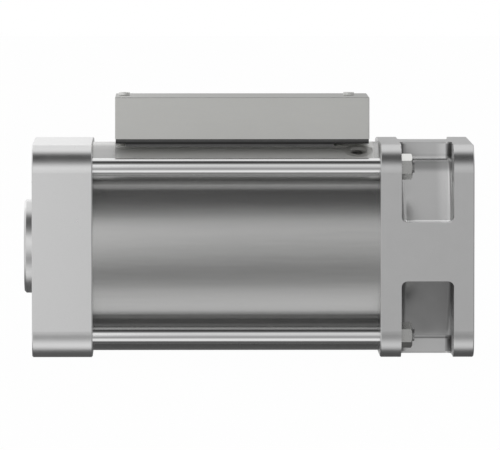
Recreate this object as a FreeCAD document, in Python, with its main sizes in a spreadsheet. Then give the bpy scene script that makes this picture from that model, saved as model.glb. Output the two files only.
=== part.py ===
"""Holding brake for the 25 mm rod of a 100 mm bore cylinder.

A pack of coil springs pushes an annular piston towards the cylinder. The taper inside the piston's
sleeve closes four jaws on the rod. Air in the chamber at the flange end drives the piston back, and
the jaws open. A pin on the sleeve carries a flag between two switches in the box on the barrel.

Frame, in millimetres: the origin is the centre of the mounting face that meets the cylinder. X runs
along the rod and points to the cylinder, Z points to the switch box.
"""
import FreeCAD, Part
import os
import re

import Sketcher

SIZES = (
    # End caps
    ("cap_side", 124.0, "square side of both end caps"),
    ("cap_corner", 16.0, "radius of the caps' long edges"),
    ("cap_edge", 0.6, "chamfer round the caps' end faces"),
    ("flange_thickness", 11.8, "flange that meets the cylinder"),
    ("pocket_length", 30.4, "spanner pockets between flange and tie wall"),
    ("tie_wall", 12.2, "wall that the tie rods pull on"),
    ("rib_half", 17.0, "half width of the ribs between the pockets"),
    ("pocket_ledge", 9.8, "flat ledge at the mouth of a pocket"),
    ("pocket_fillet", 3.4, "fillet round the floor of a pocket"),
    ("front_cap_length", 35.1, "length of the front cap's square part"),
    ("spigot_diameter", 55.0, "centring spigot and the recess for the cylinder's own"),
    ("spigot_length", 5.3, "how far the spigot stands out"),
    ("spigot_edge", 1.2, "chamfer on the spigot"),
    ("recess_depth", 4.6, "depth of the recess in the mounting face"),
    ("recess_clearance", 0.1, "radial play of the cylinder's spigot in the recess"),
    ("bolt_spacing", 89.0, "square of the cylinder's fixing screws"),
    ("flange_hole", 11.0, "hole for a fixing screw in the flange"),
    ("front_thread", 8.5, "core of the M10 threads in the front cap"),
    ("front_thread_depth", 14.0, "depth of those threads"),
    ("register_length", 5.0, "how far each cap reaches into the barrel"),
    ("register_play", 0.06, "radial play of a cap in the barrel"),
    ("ring_groove", 3.0, "width of the seal groove in a register"),
    ("ring_section", 2.6, "section of the barrel seals"),
    # Barrel and tie rods
    ("barrel_bore", 112.0, "bore of the barrel"),
    ("barrel_wall", 5.3, "wall of the barrel"),
    ("barrel_length", 167.1, "length of the barrel"),
    ("tie_spacing", 98.0, "square of the tie rods"),
    ("tie_diameter", 10.0, "tie rod between the caps"),
    ("tie_thread", 8.0, "thread at both ends of a tie rod"),
    ("tie_depth", 17.0, "thread in the front cap"),
    ("tie_end", 1.3, "tie rod beyond its nut"),
    ("thread_play", 0.05, "radial play between a thread and its hole"),
    ("nut_flats", 13.0, "across flats of the tie rod nuts"),
    ("nut_height", 6.5, "height of the tie rod nuts"),
    # Rod guides
    ("rod_diameter", 25.0, "rod that the brake holds"),
    ("rod_play", 0.03, "radial play of the rod in a bush"),
    ("rod_gap", 1.0, "radial gap round the rod where nothing guides it"),
    ("bush_wall", 3.0, "wall of the rod bushes"),
    ("bush_length", 26.0, "length of the rod bushes"),
    ("wiper_diameter", 38.0, "outside of the rod wipers"),
    ("wiper_width", 4.2, "width of the rod wipers"),
    ("clip_width", 1.2, "thickness of the retaining rings"),
    ("clip_depth", 0.9, "depth of a retaining ring in its groove"),
    ("clip_reach", 2.6, "radial width of a retaining ring"),
    ("clip_gap", 40.0, "opening of a retaining ring, in degrees"),
    ("shoulder", 2.0, "shoulder between a wiper and a bush"),
    ("seat_play", 0.02, "play between a pressed piece and its seat"),
    # Piston and jaws
    ("stroke", 6.0, "travel of the piston"),
    ("taper", 0.1, "rise of the sleeve's taper per length"),
    ("taper_play", 0.1, "radial play between sleeve and jaws"),
    ("piston_gap", 14.6, "air chamber between flange cap and piston at rest"),
    ("crown_length", 28.0, "length of the piston's crown"),
    ("crown_play", 0.25, "radial play of the crown in the barrel and on the hub"),
    ("seal_play", 0.05, "radial play of the rings that slide"),
    ("hub_step", 3.0, "hub's radius inside the sleeve's"),
    ("hub_length", 36.6, "hub beyond the register"),
    ("sleeve_diameter", 76.0, "outside of the piston's sleeve"),
    ("sleeve_over", 2.0, "sleeve beyond the jaws"),
    ("jaw_length", 80.0, "length of a jaw"),
    ("sleeve_wall", 6.0, "wall of the sleeve at the jaws' flange end"),
    ("jaw_angle", 84.0, "angle that one jaw covers"),
    ("jaw_play", 0.15, "end play of the jaws"),
    ("lining", 2.0, "thickness of the friction lining"),
    ("key_width", 8.0, "key that guides a jaw"),
    ("key_height", 4.0, "how far a key stands out of a jaw's end"),
    ("key_inner", 15.0, "radius where a key starts"),
    ("key_cover", 11.0, "jaw outside a key, at the flange end"),
    ("key_play", 0.1, "play of a key in its slot"),
    ("thrust_ring", 9.85, "thickness of the thrust ring on the hub"),
    ("thrust_rim", 0.5, "thrust ring inside the hub's edge"),
    ("thrust_step", 10.0, "front thrust sleeve's radius inside the jaws'"),
    ("thrust_foot", 59.0, "foot of the front thrust sleeve"),
    ("thrust_screw", 4.0, "screws of the thrust ring"),
    ("thrust_screw_head", 7.4, "their heads"),
    ("thrust_screw_inset", 10.0, "their centres inside the hub's edge"),
    ("thrust_screw_depth", 10.0, "their thread in the hub"),
    ("opener_diameter", 4.6, "small springs that open the jaws"),
    ("opener_depth", 6.0, "depth of their seats"),
    ("opener_cover", 10.0, "their centres inside the jaws' outer face"),
    ("opener_inset", 16.0, "their distance from a jaw's end"),
    ("groove_depth", 3.0, "depth of the piston's ring grooves"),
    ("guide_width", 7.0, "width of the piston's guide ring"),
    ("seal_width", 5.0, "width of the piston's seals"),
    ("land", 3.0, "land beside a ring groove"),
    # Brake springs
    ("spring_count", 8, "number of brake springs"),
    ("spring_inner_gap", 1.4, "springs to the sleeve"),
    ("spring_outer_gap", 2.6, "springs to the barrel"),
    ("spring_index", 5.0, "outside of a spring over its wire"),
    ("spring_play", 0.5, "radial play of a spring in its seats"),
    ("crown_seat", 6.0, "depth of the seats in the crown"),
    ("plate_thickness", 8.0, "plate that the springs stand on"),
    ("plate_seat", 4.0, "depth of the seats in the plate"),
    ("plate_play", 1.5, "plate inside the barrel's bore"),
    ("guide_gap", 1.2, "spring to the pin inside it"),
    ("guide_pin_end", 4.0, "pins short of the crown"),
    # Air port
    ("port_angle", 21.0, "lean of the plugged port from the top, in degrees"),
    ("supply_angle", 90.0, "lean of the air port on the far side, in degrees"),
    ("port_inset", 12.1, "port to the flange cap's wall"),
    ("port_core", 8.6, "core of the G1/8 thread"),
    ("port_rim", 17.0, "rim of the port insert"),
    ("port_neck", 12.0, "neck of the port insert"),
    ("port_rim_height", 2.4, "height of the rim"),
    ("port_sink", 0.3, "rim below the barrel's crest"),
    ("port_length", 9.0, "length of the port insert"),
    ("port_chamfer", 1.0, "chamfer at the mouth of the port"),
    ("screw_plug_sink", 1.2, "plug below the rim of its port"),
    ("screw_plug_length", 5.5, "length of the plug"),
    ("screw_plug_socket", 5.0, "hexagon socket of the plug, across flats"),
    ("screw_plug_socket_depth", 3.5, "depth of the plug's socket"),
    # Switch box
    ("box_length", 148.4, "length of the switch box"),
    ("box_width", 61.0, "width of the switch box"),
    ("box_height", 24.4, "height of the cover"),
    ("box_inset", 5.7, "box to the flange cap's wall"),
    ("box_gap", 0.3, "base plate above the barrel's crest"),
    ("cover_wall", 2.0, "wall of the cover"),
    ("cover_edge", 0.5, "rounding of the cover's edges"),
    ("base_thickness", 1.8, "thickness of the base plate"),
    ("base_inset", 1.2, "base plate inside the cover's outline"),
    ("gasket_thickness", 0.8, "gasket between base plate and cover"),
    ("gasket_width", 1.4, "width of the gasket's frame on the plate"),
    ("gasket_inset", 0.3, "gasket's skirt inside the cover's outline"),
    ("rail_length", 122.0, "rails under the base plate"),
    ("rail_inset", 6.0, "rails to the box's front end"),
    ("rail_inner", 7.0, "rails' inner side from the middle"),
    ("rail_outer", 16.0, "rails' outer side from the middle"),
    ("rail_screw_side", 11.5, "rail screws from the middle"),
    ("rail_screw_inset", 9.0, "rail screws from a rail's end"),
    ("rail_screw", 4.0, "rail screws' thread"),
    ("rail_screw_head", 7.4, "rail screws' head"),
    ("rail_screw_end", 3.7, "how deep the screws reach into the barrel"),
    ("cover_screw", 3.0, "cover screws' thread"),
    ("cover_screw_head", 6.4, "cover screws' head"),
    ("cover_screw_height", 1.9, "height of that head"),
    ("cover_screw_depth", 8.0, "cover screws in their pillars"),
    ("cover_screw_front", 5.2, "front screw from the cover's end"),
    ("cover_screw_rear", 11.4, "rear screw from the cover's end"),
    ("pillar_diameter", 5.0, "pillars that hold the cover"),
    ("slot_width", 9.0, "slot for the trip pin"),
    ("slot_spare", 1.5, "slot beyond the pin's travel"),
    ("trip_pin", 6.0, "trip pin on the sleeve"),
    ("trip_seat", 6.0, "depth of the pin in the sleeve"),
    ("flag_thickness", 5.0, "flag on the trip pin"),
    ("flag_width", 12.0, "flag across the box"),
    ("flag_height", 14.0, "height of the flag"),
    ("switch_diameter", 8.0, "proximity switches"),
    ("switch_length", 45.0, "their length"),
    ("switch_gap", 1.2, "switch to flag at either end of the travel"),
    ("switch_height", 12.5, "their axis above the base plate"),
    ("switch_nut", 4.0, "height of their nuts"),
    ("switch_nut_flats", 13.0, "across flats of their nuts"),
    ("bracket_thickness", 3.0, "brackets that hold the switches"),
    ("bracket_width", 20.0, "brackets across the box"),
    ("bracket_height", 20.5, "brackets above the base plate"),
    ("bracket_foot", 12.0, "foot of a bracket"),
    ("bracket_place", 20.0, "bracket behind a switch's face"),
    ("plug_diameter", 16.0, "plug in the cable hole at the back"),
    ("plug_head", 2.0, "head of the plug"),
    ("plug_neck", 12.0, "cable hole"),
    ("plug_inset", 29.0, "cable hole to the cover's front end"),
    ("plug_socket", 5.0, "across flats of the socket in the plug"),
    # Play between pieces that only lie side by side
    ("hole_play", 0.2, "radial play round a screw or pin that passes through"),
    ("near", 0.1, "gap between neighbours that are not pressed together"),
)

PLACES = (
    # Along the rod, from the mounting face
    ("tie_face", "-(flange_thickness + pocket_length)"),
    ("wall_face", "-(flange_thickness + pocket_length + tie_wall)"),
    ("hub_end", "wall_face - register_length - hub_length"),
    ("barrel_front", "wall_face - barrel_length"),
    ("plate_rear", "barrel_front + register_length + plate_thickness"),
    ("front_end", "barrel_front - front_cap_length - spigot_length"),
    ("crown_rear", "wall_face - register_length - piston_gap"),
    ("crown_front", "crown_rear - crown_length"),
    ("jaw_rear", "hub_end - thrust_ring - jaw_play"),
    ("jaw_front", "jaw_rear - jaw_length"),
    ("sleeve_front", "jaw_front - sleeve_over"),
    ("spring_rear", "crown_front + crown_seat"),
    ("spring_front", "plate_rear - plate_seat"),
    ("box_rear", "wall_face - box_inset"),
    ("box_front", "box_rear - box_length"),
    ("trip_place", "(box_rear + box_front) / 2 + stroke / 2"),
    ("port_place", "wall_face - port_inset"),
    # Across the rod
    ("cap_half", "cap_side / 2"),
    ("barrel_inner", "barrel_bore / 2"),
    ("barrel_outer", "barrel_bore / 2 + barrel_wall"),
    ("register_radius", "barrel_inner - register_play"),
    ("rod_radius", "rod_diameter / 2"),
    ("rod_clear", "rod_diameter / 2 + rod_gap"),
    ("bush_radius", "rod_diameter / 2 + bush_wall"),
    ("hub_radius", "sleeve_diameter / 2 - hub_step"),
    ("jaw_large", "sleeve_diameter - 2 * sleeve_wall"),
    ("key_outer", "jaw_large / 2 - key_cover"),
    ("opener_radius", "jaw_large / 2 - opener_cover"),
    ("thrust_sleeve", "jaw_large - 2 * thrust_step"),
    ("thrust_screw_circle", "2 * (hub_radius - thrust_screw_inset)"),
    (
        "spring_diameter",
        "(barrel_bore - sleeve_diameter) / 2 - spring_inner_gap - spring_outer_gap",
    ),
    ("spring_circle", "sleeve_diameter + 2 * spring_inner_gap + spring_diameter"),
    ("spring_wire", "spring_diameter / spring_index"),
    ("guide_pin", "spring_diameter - 2 * spring_wire - 2 * guide_gap"),
    ("base_bottom", "barrel_outer + box_gap"),
    ("base_top", "base_bottom + base_thickness"),
    ("cover_bottom", "base_top + gasket_thickness"),
    ("cover_top", "cover_bottom + box_height"),
)

ALIASES = {name for name, *_ in SIZES} | {name for name, _ in PLACES}
PARTS_FOLDER = "parts"

doc = FreeCAD.newDocument("holding_brake")
sheet = doc.addObject("Spreadsheet::Sheet", "Sizes")


def sized(text, prefix="Sizes."):
    """Turn the sheet's words in an expression into references to its cells."""
    return re.sub(r"[a-z][a-z_]+", lambda word: prefix + word[0] if word[0] in ALIASES else word[0], text)


def fill_sheet():
    """Write the driving sizes, and the places that follow from them, into the sheet."""
    row = 1
    for name, number, meaning in SIZES:
        sheet.set(f"A{row}", str(number))
        sheet.setAlias(f"A{row}", name)
        sheet.set(f"B{row}", meaning)
        row += 1
    for name, formula in PLACES:
        sheet.set(f"A{row}", "=" + sized(formula, ""))
        sheet.setAlias(f"A{row}", name)
        row += 1
    doc.recompute()


def value(text):
    """Give the number that an expression stands for."""
    return float(sheet.evalExpression(sized(text)))


def bind(thing, field, text):
    """Tie a property of an object to an expression of the sheet's words."""
    thing.setExpression(field, sized(text))


def place(piece, x="0", y="0", z="0", turn=None):
    """Put a piece at a place in the frame, turned by (axis, degrees)."""
    if turn:
        axis, degrees = turn
        piece.Placement = FreeCAD.Placement(FreeCAD.Vector(), FreeCAD.Rotation(axis, value(degrees)))
    for letter, text in zip("xyz", (x, y, z)):
        bind(piece, f"Placement.Base.{letter}", text)


X_AXIS = FreeCAD.Vector(1, 0, 0)
Y_AXIS = FreeCAD.Vector(0, 1, 0)
SIDES = ("rail_screw_side", "-rail_screw_side")
PORTS = (("near", "port_angle"), ("far", "-supply_angle"))
PORT_TOP = "(barrel_outer - port_sink)"
RAIL_FRONT = "(box_front + rail_inset)"
RAIL_SCREWS = (
    f"{RAIL_FRONT} + rail_screw_inset",
    f"{RAIL_FRONT} + rail_length - rail_screw_inset",
)
HALF_STEP = "180 / spring_count"
FIRST_SPRING = (f"spring_circle / 2 * sin({HALF_STEP})", f"spring_circle / 2 * cos({HALF_STEP})")
RING_PLACES = (
    ("seal", "(crown_rear - land)", "seal_width"),
    ("guide", "(crown_rear - 2 * land - seal_width)", "guide_width"),
)
FLAG_MIDDLE = "(base_top + switch_height)"
OPENERS = ("jaw_front + opener_inset", "jaw_rear - opener_inset")
HALF_GAP = "opener_radius * sin(45 - jaw_angle / 2)"
COVER_SCREWS = ("(box_front + cover_screw_front)", "(box_rear - cover_screw_rear)")


# Bodies made of sketches and features


def new_body(label, x="0", y="0", z="0", turn=None):
    """Start a body whose own origin lies at x, y, z."""
    body = doc.addObject("PartDesign::Body", label)
    body.Label = label
    place(body, x, y, z, turn)
    return body


def origin_feature(body, role):
    """Find one of a body's own planes or axes."""
    return next(item for item in body.Origin.OriginFeatures if item.Role == role)


def new_sketch(body, name, role, offset="0", lean=None):
    """Attach an empty sketch to a plane of its body, moved along its normal, or leaning about X."""
    sketch = body.newObject("Sketcher::SketchObject", name)
    sketch.AttachmentSupport = (origin_feature(body, role), [""])
    sketch.MapMode = "FlatFace"
    if lean:
        sketch.AttachmentOffset = FreeCAD.Placement(FreeCAD.Vector(), FreeCAD.Rotation(X_AXIS, value(lean)))
        bind(sketch, "AttachmentOffset.Rotation.Angle", f"({lean}) * 1 deg")
        bind(sketch, "AttachmentOffset.Base.y", f"-({offset}) * sin({lean})")
        bind(sketch, "AttachmentOffset.Base.z", f"({offset}) * cos({lean})")
    else:
        bind(sketch, "AttachmentOffset.Base.z", offset)
    return sketch


def pin_point(sketch, geometry, end, x, y):
    """Hold one point of a sketch at two expressions."""
    for kind, text, axis in (("DistanceX", x, -2), ("DistanceY", y, -1)):
        if text == "0":
            sketch.addConstraint(Sketcher.Constraint("PointOnObject", geometry, end, axis))
            continue
        index = sketch.addConstraint(Sketcher.Constraint(kind, -1, 1, geometry, end, value(text)))
        name = f"{kind}_{geometry}"
        sketch.renameConstraint(index, name)
        bind(sketch, f"Constraints.{name}", text)


def polygon(body, name, role, corners, offset="0"):
    """Sketch a closed outline of straight lines through corners given as expressions."""
    sketch = new_sketch(body, name, role, offset)
    spots = [FreeCAD.Vector(value(x), value(y), 0) for x, y in corners]
    for start, end in zip(spots, spots[1:] + spots[:1]):
        sketch.addGeometry(Part.LineSegment(start, end))
    for index in range(len(spots)):
        following = (index + 1) % len(spots)
        sketch.addConstraint(Sketcher.Constraint("Coincident", index, 2, following, 1))
    for index, (x, y) in enumerate(corners):
        pin_point(sketch, index, 1, x, y)
    return sketch


def rectangle(body, name, role, x_range, y_range, offset="0"):
    """Sketch a rectangle between two pairs of expressions."""
    (left, right), (low, high) = x_range, y_range
    corners = ((left, low), (right, low), (right, high), (left, high))
    return polygon(body, name, role, corners, offset)


def circles(body, name, role, rings, offset="0", lean=None):
    """Sketch circles, each given as the expressions x, y and diameter."""
    sketch = new_sketch(body, name, role, offset, lean)
    normal = FreeCAD.Vector(0, 0, 1)
    for x, y, diameter in rings:
        middle = FreeCAD.Vector(value(x), value(y), 0)
        index = sketch.addGeometry(Part.Circle(middle, normal, value(diameter) / 2))
        pin_point(sketch, index, 3, x, y)
        size = sketch.addConstraint(Sketcher.Constraint("Diameter", index, value(diameter)))
        sketch.renameConstraint(size, f"Diameter_{index}")
        bind(sketch, f"Constraints.Diameter_{index}", diameter)
    return sketch


def feature(body, kind, name, sketch, **settings):
    """Add a feature made from a sketch, and stop if a cut removes nothing."""
    before = body.Shape.Volume if body.Tip else 0.0
    made = body.newObject("PartDesign::" + kind, name)
    made.Profile = sketch
    for field, setting in settings.items():
        if isinstance(setting, str) and field in ("Length", "Angle"):
            bind(made, field, setting)
        else:
            setattr(made, field, setting)
    doc.recompute()
    if kind in ("Pocket", "Groove") and not body.Shape.Volume < before - 1e-3:
        raise RuntimeError(f"{body.Label}: {name} cuts nothing")
    return made


def pad(body, sketch, length, **settings):
    """Raise a sketch into a solid."""
    return feature(body, "Pad", sketch.Name + "_pad", sketch, Length=length, **settings)


def pocket(body, sketch, length, **settings):
    """Cut a sketch out of a body to a depth."""
    return feature(body, "Pocket", sketch.Name + "_cut", sketch, Length=length, **settings)


def lathe(body, name, profile, kind="Revolution", centre=None, **settings):
    """Turn a profile of (x, radius) about X, or about a line beside it at (y, z) = centre."""
    if centre is None:
        sketch = polygon(body, name, "XZ_Plane", profile)
        axis = "H_Axis"
    else:
        side, height = centre
        corners = [(x, f"{height} + ({radius})") for x, radius in profile]
        sketch = polygon(body, name, "XZ_Plane", corners, f"-({side})")
        line = Part.LineSegment(
            FreeCAD.Vector(0, value(height), 0), FreeCAD.Vector(1, value(height), 0)
        )
        index = sketch.addGeometry(line, True)
        sketch.addConstraint(Sketcher.Constraint("Horizontal", index))
        sketch.addConstraint(Sketcher.Constraint("PointOnObject", index, 1, -2))
        lift = sketch.addConstraint(
            Sketcher.Constraint("DistanceY", -1, 1, index, 1, value(height))
        )
        sketch.renameConstraint(lift, "axis_height")
        bind(sketch, "Constraints.axis_height", height)
        axis = "Axis0"
    return feature(
        body, kind, f"{name}_turned", sketch, ReferenceAxis=(sketch, [axis]), **{"Angle": "360", **settings}
    )


def around(body, name, originals, count):
    """Repeat features evenly about the body's X axis."""
    pattern = body.newObject("PartDesign::PolarPattern", name)
    pattern.Originals = originals
    pattern.Axis = (origin_feature(body, "X_Axis"), [""])
    pattern.Angle = 360
    bind(pattern, "Occurrences", count)
    body.Tip = pattern
    doc.recompute()
    return pattern


def mirrored(body, name, originals, role):
    """Mirror features in one of the body's planes."""
    mirror = body.newObject("PartDesign::Mirrored", name)
    mirror.Originals = originals
    mirror.MirrorPlane = (origin_feature(body, role), [""])
    body.Tip = mirror
    doc.recompute()
    return mirror


def edges_of(body, test):
    """Name the edges of a body, in its own frame, that pass a test."""
    shape = body.Tip.Shape
    return [f"Edge{number}" for number, edge in enumerate(shape.Edges, 1) if test(edge)]


def fillet(body, name, radius, test):
    """Round the edges that pass a test."""
    base, names = body.Tip, edges_of(body, test)
    made = body.newObject("PartDesign::Fillet", name)
    made.Base = (base, names)
    bind(made, "Radius", radius)
    doc.recompute()
    return made


def chamfer(body, name, size, test):
    """Bevel the edges that pass a test."""
    base, names = body.Tip, edges_of(body, test)
    made = body.newObject("PartDesign::Chamfer", name)
    made.Base = (base, names)
    bind(made, "Size", size)
    doc.recompute()
    return made


def runs_along_x(edge):
    """Tell whether an edge is straight and parallel to X."""
    box = edge.BoundBox
    return box.XLength > 1e-6 and box.YLength < 1e-6 and box.ZLength < 1e-6


def lies_at(edge, x):
    """Tell whether an edge lies in the plane at x."""
    return abs(edge.BoundBox.XMin - x) < 1e-6 and abs(edge.BoundBox.XMax - x) < 1e-6


# Solids made of primitives


def cylinder(name, diameter, height, x="0", y="0", z="0", turn=None):
    """Make a cylinder that stands on x, y, z."""
    solid = doc.addObject("Part::Cylinder", name)
    bind(solid, "Radius", f"({diameter}) / 2")
    bind(solid, "Height", height)
    place(solid, x, y, z, turn)
    return solid


def block(name, length, width, height, x, y, z):
    """Make a box with its low corner at x, y, z."""
    solid = doc.addObject("Part::Box", name)
    for field, text in (("Length", length), ("Width", width), ("Height", height)):
        bind(solid, field, text)
    place(solid, x, y, z)
    return solid


def cone(name, low, high, height, x="0", y="0", z="0", turn=None):
    """Make a cone between two diameters."""
    solid = doc.addObject("Part::Cone", name)
    bind(solid, "Radius1", f"({low}) / 2")
    bind(solid, "Radius2", f"({high}) / 2")
    bind(solid, "Height", height)
    place(solid, x, y, z, turn)
    return solid


def fused(label, solids):
    """Join solids into one."""
    joined = doc.addObject("Part::MultiFuse", label)
    joined.Label = label
    joined.Shapes = solids
    joined.Refine = True
    return joined


def cut(label, base, tools):
    """Take tools away from a solid."""
    tool = tools[0] if len(tools) == 1 else fused(label + "_tools", tools)
    result = doc.addObject("Part::Cut", label)
    result.Label = label
    result.Base = base
    result.Tool = tool
    return result


def grouped(label, solids):
    """Keep separate solids together in one node."""
    group = doc.addObject("Part::Compound", label)
    group.Label = label
    group.Links = solids
    return group


# End caps


def cap_block(body, start, length):
    """Pad the square block of a cap, with its round long edges and bevelled faces."""
    sides = ("-cap_half", "cap_half")
    outline = rectangle(body, body.Label + "_outline", "YZ_Plane", sides, sides, start)
    pad(body, outline, length)
    fillet(body, body.Label + "_corners", "cap_corner", runs_along_x)
    ends = (value(start), value(f"{start} + {length}"))

    def on_end_face(edge):
        """Pick the outline of either end face."""
        return any(lies_at(edge, end) for end in ends)

    chamfer(body, body.Label + "_edges", "cap_edge", on_end_face)


def register(body, start, inner):
    """Add the ring that centres a cap in the barrel, with its seal groove."""
    end = f"{start} + register_length"
    lathe(
        body,
        body.Label + "_register",
        ((start, inner), (end, inner), (end, "register_radius"), (start, "register_radius")),
    )
    low = f"{start} + (register_length - ring_groove) / 2"
    high = f"{start} + (register_length + ring_groove) / 2"
    floor = "register_radius - ring_section"
    beyond = "register_radius + 1"
    lathe(
        body,
        body.Label + "_seal_groove",
        ((low, floor), (high, floor), (high, beyond), (low, beyond)),
        "Groove",
    )


def clip_groove(body, name, start):
    """Cut the groove of a retaining ring into a wiper's seat."""
    end = f"{start} + clip_width + near"
    rim = "wiper_diameter / 2 + clip_depth"
    lathe(body, name, ((start, "rod_clear"), (end, "rod_clear"), (end, rim), (start, rim)), "Groove")


def corner_holes(body, name, spacing, diameter, start, depth, **settings):
    """Cut four holes on the corners of a square."""
    corner = f"{spacing} / 2"
    sketch = circles(body, name, "YZ_Plane", ((corner, corner, diameter),), start)
    around(body, name + "_set", [pocket(body, sketch, depth, **settings)], "4")


def front_cap():
    """Front cap: spigot, wiper seat, bush seat, screw threads and tie rod threads."""
    body = new_body("front_cap", "front_end")
    length = "(spigot_length + front_cap_length)"
    seat = "(2 * clip_width + wiper_width)"
    cap_block(body, "spigot_length", "front_cap_length")
    lathe(
        body,
        "spigot",
        (
            ("0", "rod_radius"),
            ("spigot_length + 1", "rod_radius"),
            ("spigot_length + 1", "spigot_diameter / 2"),
            ("spigot_edge", "spigot_diameter / 2"),
            ("0", "spigot_diameter / 2 - spigot_edge"),
        ),
    )
    register(body, length, "thrust_foot / 2 + near")
    lathe(
        body,
        "front_bore",
        (
            ("-1", "0"),
            (length + " + 1", "0"),
            (length + " + 1", "bush_radius"),
            (seat + " + shoulder", "bush_radius"),
            (seat + " + shoulder", "rod_clear"),
            (seat, "rod_clear"),
            (seat, "wiper_diameter / 2"),
            ("-1", "wiper_diameter / 2"),
        ),
        "Groove",
    )
    clip_groove(body, "front_clip_groove", "clip_width - near")
    corner_holes(
        body,
        "front_threads",
        "bolt_spacing",
        "front_thread",
        "spigot_length",
        "front_thread_depth",
        Reversed=True,
    )
    corner_holes(body, "tie_threads", "tie_spacing", "tie_thread + 2 * thread_play", length, "tie_depth + 1")
    return body


def flange_cap():
    """Cap on the cylinder's side: flange, four spanner pockets, tie wall, register and hub."""
    body = new_body("flange_cap", "hub_end")
    wall = "(hub_length + register_length)"
    total = "(-hub_end)"
    cap_block(body, wall, "flange_thickness + pocket_length + tie_wall")
    start = f"({wall} + tie_wall)"
    ledge = "(cap_half - pocket_ledge)"
    beyond = "(cap_half + 2)"
    corners = (
        ("rib_half", ledge),
        (ledge, "rib_half"),
        (beyond, "rib_half"),
        (beyond, beyond),
        ("rib_half", beyond),
    )
    outline = polygon(body, "corner_pocket", "YZ_Plane", corners, start)
    around(body, "corner_pockets", [pocket(body, outline, "pocket_length", Reversed=True)], "4")
    ends = (value(start), value(start + " + pocket_length"))
    side, rib = value("cap_half"), value("rib_half")
    edge_sum = value("rib_half + " + ledge)

    def on_pocket_floor(edge):
        """Pick the edges where a pocket's floor meets its ends, and the floor's own bends."""
        middle = edge.valueAt((edge.FirstParameter + edge.LastParameter) / 2)
        near, far = sorted((abs(middle.y), abs(middle.z)))
        in_pocket = ends[0] - 1e-3 < middle.x < ends[1] + 1e-3 and far < side - 1e-3
        straight = runs_along_x(edge) or any(lies_at(edge, end) for end in ends)
        on_ledge = abs(near - rib) < 1e-3 and far > edge_sum - rib - 1e-3
        on_slope = abs(near + far - edge_sum) < 1e-3 and near > rib - 1e-3
        return in_pocket and straight and (on_ledge or on_slope)

    fillet(body, "pocket_floors", "pocket_fillet", on_pocket_floor)
    register(body, "hub_length", "hub_radius - 1")
    lathe(
        body,
        "hub",
        (
            ("0", "rod_radius"),
            (wall + " + 1", "rod_radius"),
            (wall + " + 1", "hub_radius"),
            ("cap_edge", "hub_radius"),
            ("0", "hub_radius - cap_edge"),
        ),
    )
    recess = f"({total} - recess_depth)"
    seat = f"({recess} - 2 * clip_width - wiper_width)"
    lathe(
        body,
        "rear_bore",
        (
            ("-1", "0"),
            (total + " + 1", "0"),
            (total + " + 1", "spigot_diameter / 2 + recess_clearance"),
            (recess, "spigot_diameter / 2 + recess_clearance"),
            (recess, "wiper_diameter / 2"),
            (seat, "wiper_diameter / 2"),
            (seat, "rod_clear"),
            (seat + " - shoulder", "rod_clear"),
            (seat + " - shoulder", "bush_radius"),
            (seat + " - shoulder - bush_length", "bush_radius"),
            (seat + " - shoulder - bush_length", "bush_radius + rod_gap"),
            ("-1", "bush_radius + rod_gap"),
        ),
        "Groove",
    )
    clip_groove(body, "rear_clip_groove", f"{recess} - 2 * clip_width")
    corner_holes(body, "flange_holes", "bolt_spacing", "flange_hole", total, "flange_thickness + 1")
    corner_holes(
        body, "tie_holes", "tie_spacing", "tie_thread + 2 * hole_play", wall, "tie_wall + 1", Reversed=True
    )
    corner_holes(
        body,
        "thrust_threads",
        "thrust_screw_circle * sqrt(0.5)",
        "thrust_screw + 2 * thread_play",
        "0",
        "thrust_screw_depth + 1",
        Reversed=True,
    )
    return body


# Barrel and what holds it between the caps


def barrel():
    """Barrel: a tube with the slot for the trip pin, the port and the rail screws' threads."""
    body = new_body("barrel")
    lathe(
        body,
        "barrel_wall_profile",
        (
            ("barrel_front", "barrel_inner"),
            ("wall_face", "barrel_inner"),
            ("wall_face", "barrel_outer"),
            ("barrel_front", "barrel_outer"),
        ),
    )
    slot = rectangle(
        body,
        "trip_slot",
        "XY_Plane",
        (
            "trip_place - stroke - trip_pin / 2 - slot_spare",
            "trip_place + trip_pin / 2 + slot_spare",
        ),
        ("-slot_width / 2", "slot_width / 2"),
        "barrel_inner - slot_width",
    )
    pocket(body, slot, "barrel_wall + 2 * slot_width", Reversed=True)
    threads = circles(
        body,
        "rail_threads",
        "XY_Plane",
        [(x, side, "rail_screw + 2 * thread_play") for x in RAIL_SCREWS for side in SIDES],
        "barrel_outer - rail_screw_end - near",
    )
    pocket(body, threads, "barrel_wall + rail_screw_end", Reversed=True)
    for tag, angle in PORTS:
        neck = circles(
            body,
            f"{tag}_neck_hole",
            "XY_Plane",
            (("port_place", "0", "port_neck + 2 * seat_play"),),
            "barrel_inner - port_neck",
            angle,
        )
        pocket(body, neck, "2 * port_neck", Reversed=True)
        rim = circles(
            body,
            f"{tag}_rim_seat",
            "XY_Plane",
            (("port_place", "0", "port_rim + 2 * seat_play"),),
            "barrel_outer - port_sink - port_rim_height",
            angle,
        )
        pocket(body, rim, "port_rim_height + barrel_wall", Reversed=True)
    return body


def tie_rods():
    """Four tie rods, screwed into the front cap and drawn up against the tie wall."""
    body = new_body("tie_rods")
    end = "(tie_face + nut_height + tie_end)"
    start = "(barrel_front - tie_depth)"
    rod = lathe(
        body,
        "tie_rod",
        (
            (start, "0"),
            (end, "0"),
            (end, "tie_thread / 2 - cap_edge"),
            (end + " - cap_edge", "tie_thread / 2"),
            ("wall_face - near", "tie_thread / 2"),
            ("wall_face - near", "tie_diameter / 2"),
            ("barrel_front + near", "tie_diameter / 2"),
            ("barrel_front + near", "tie_thread / 2"),
            (start, "tie_thread / 2"),
        ),
        centre=("tie_spacing / 2", "tie_spacing / 2"),
    )
    around(body, "tie_rod_set", [rod], "4")
    return body


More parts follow.
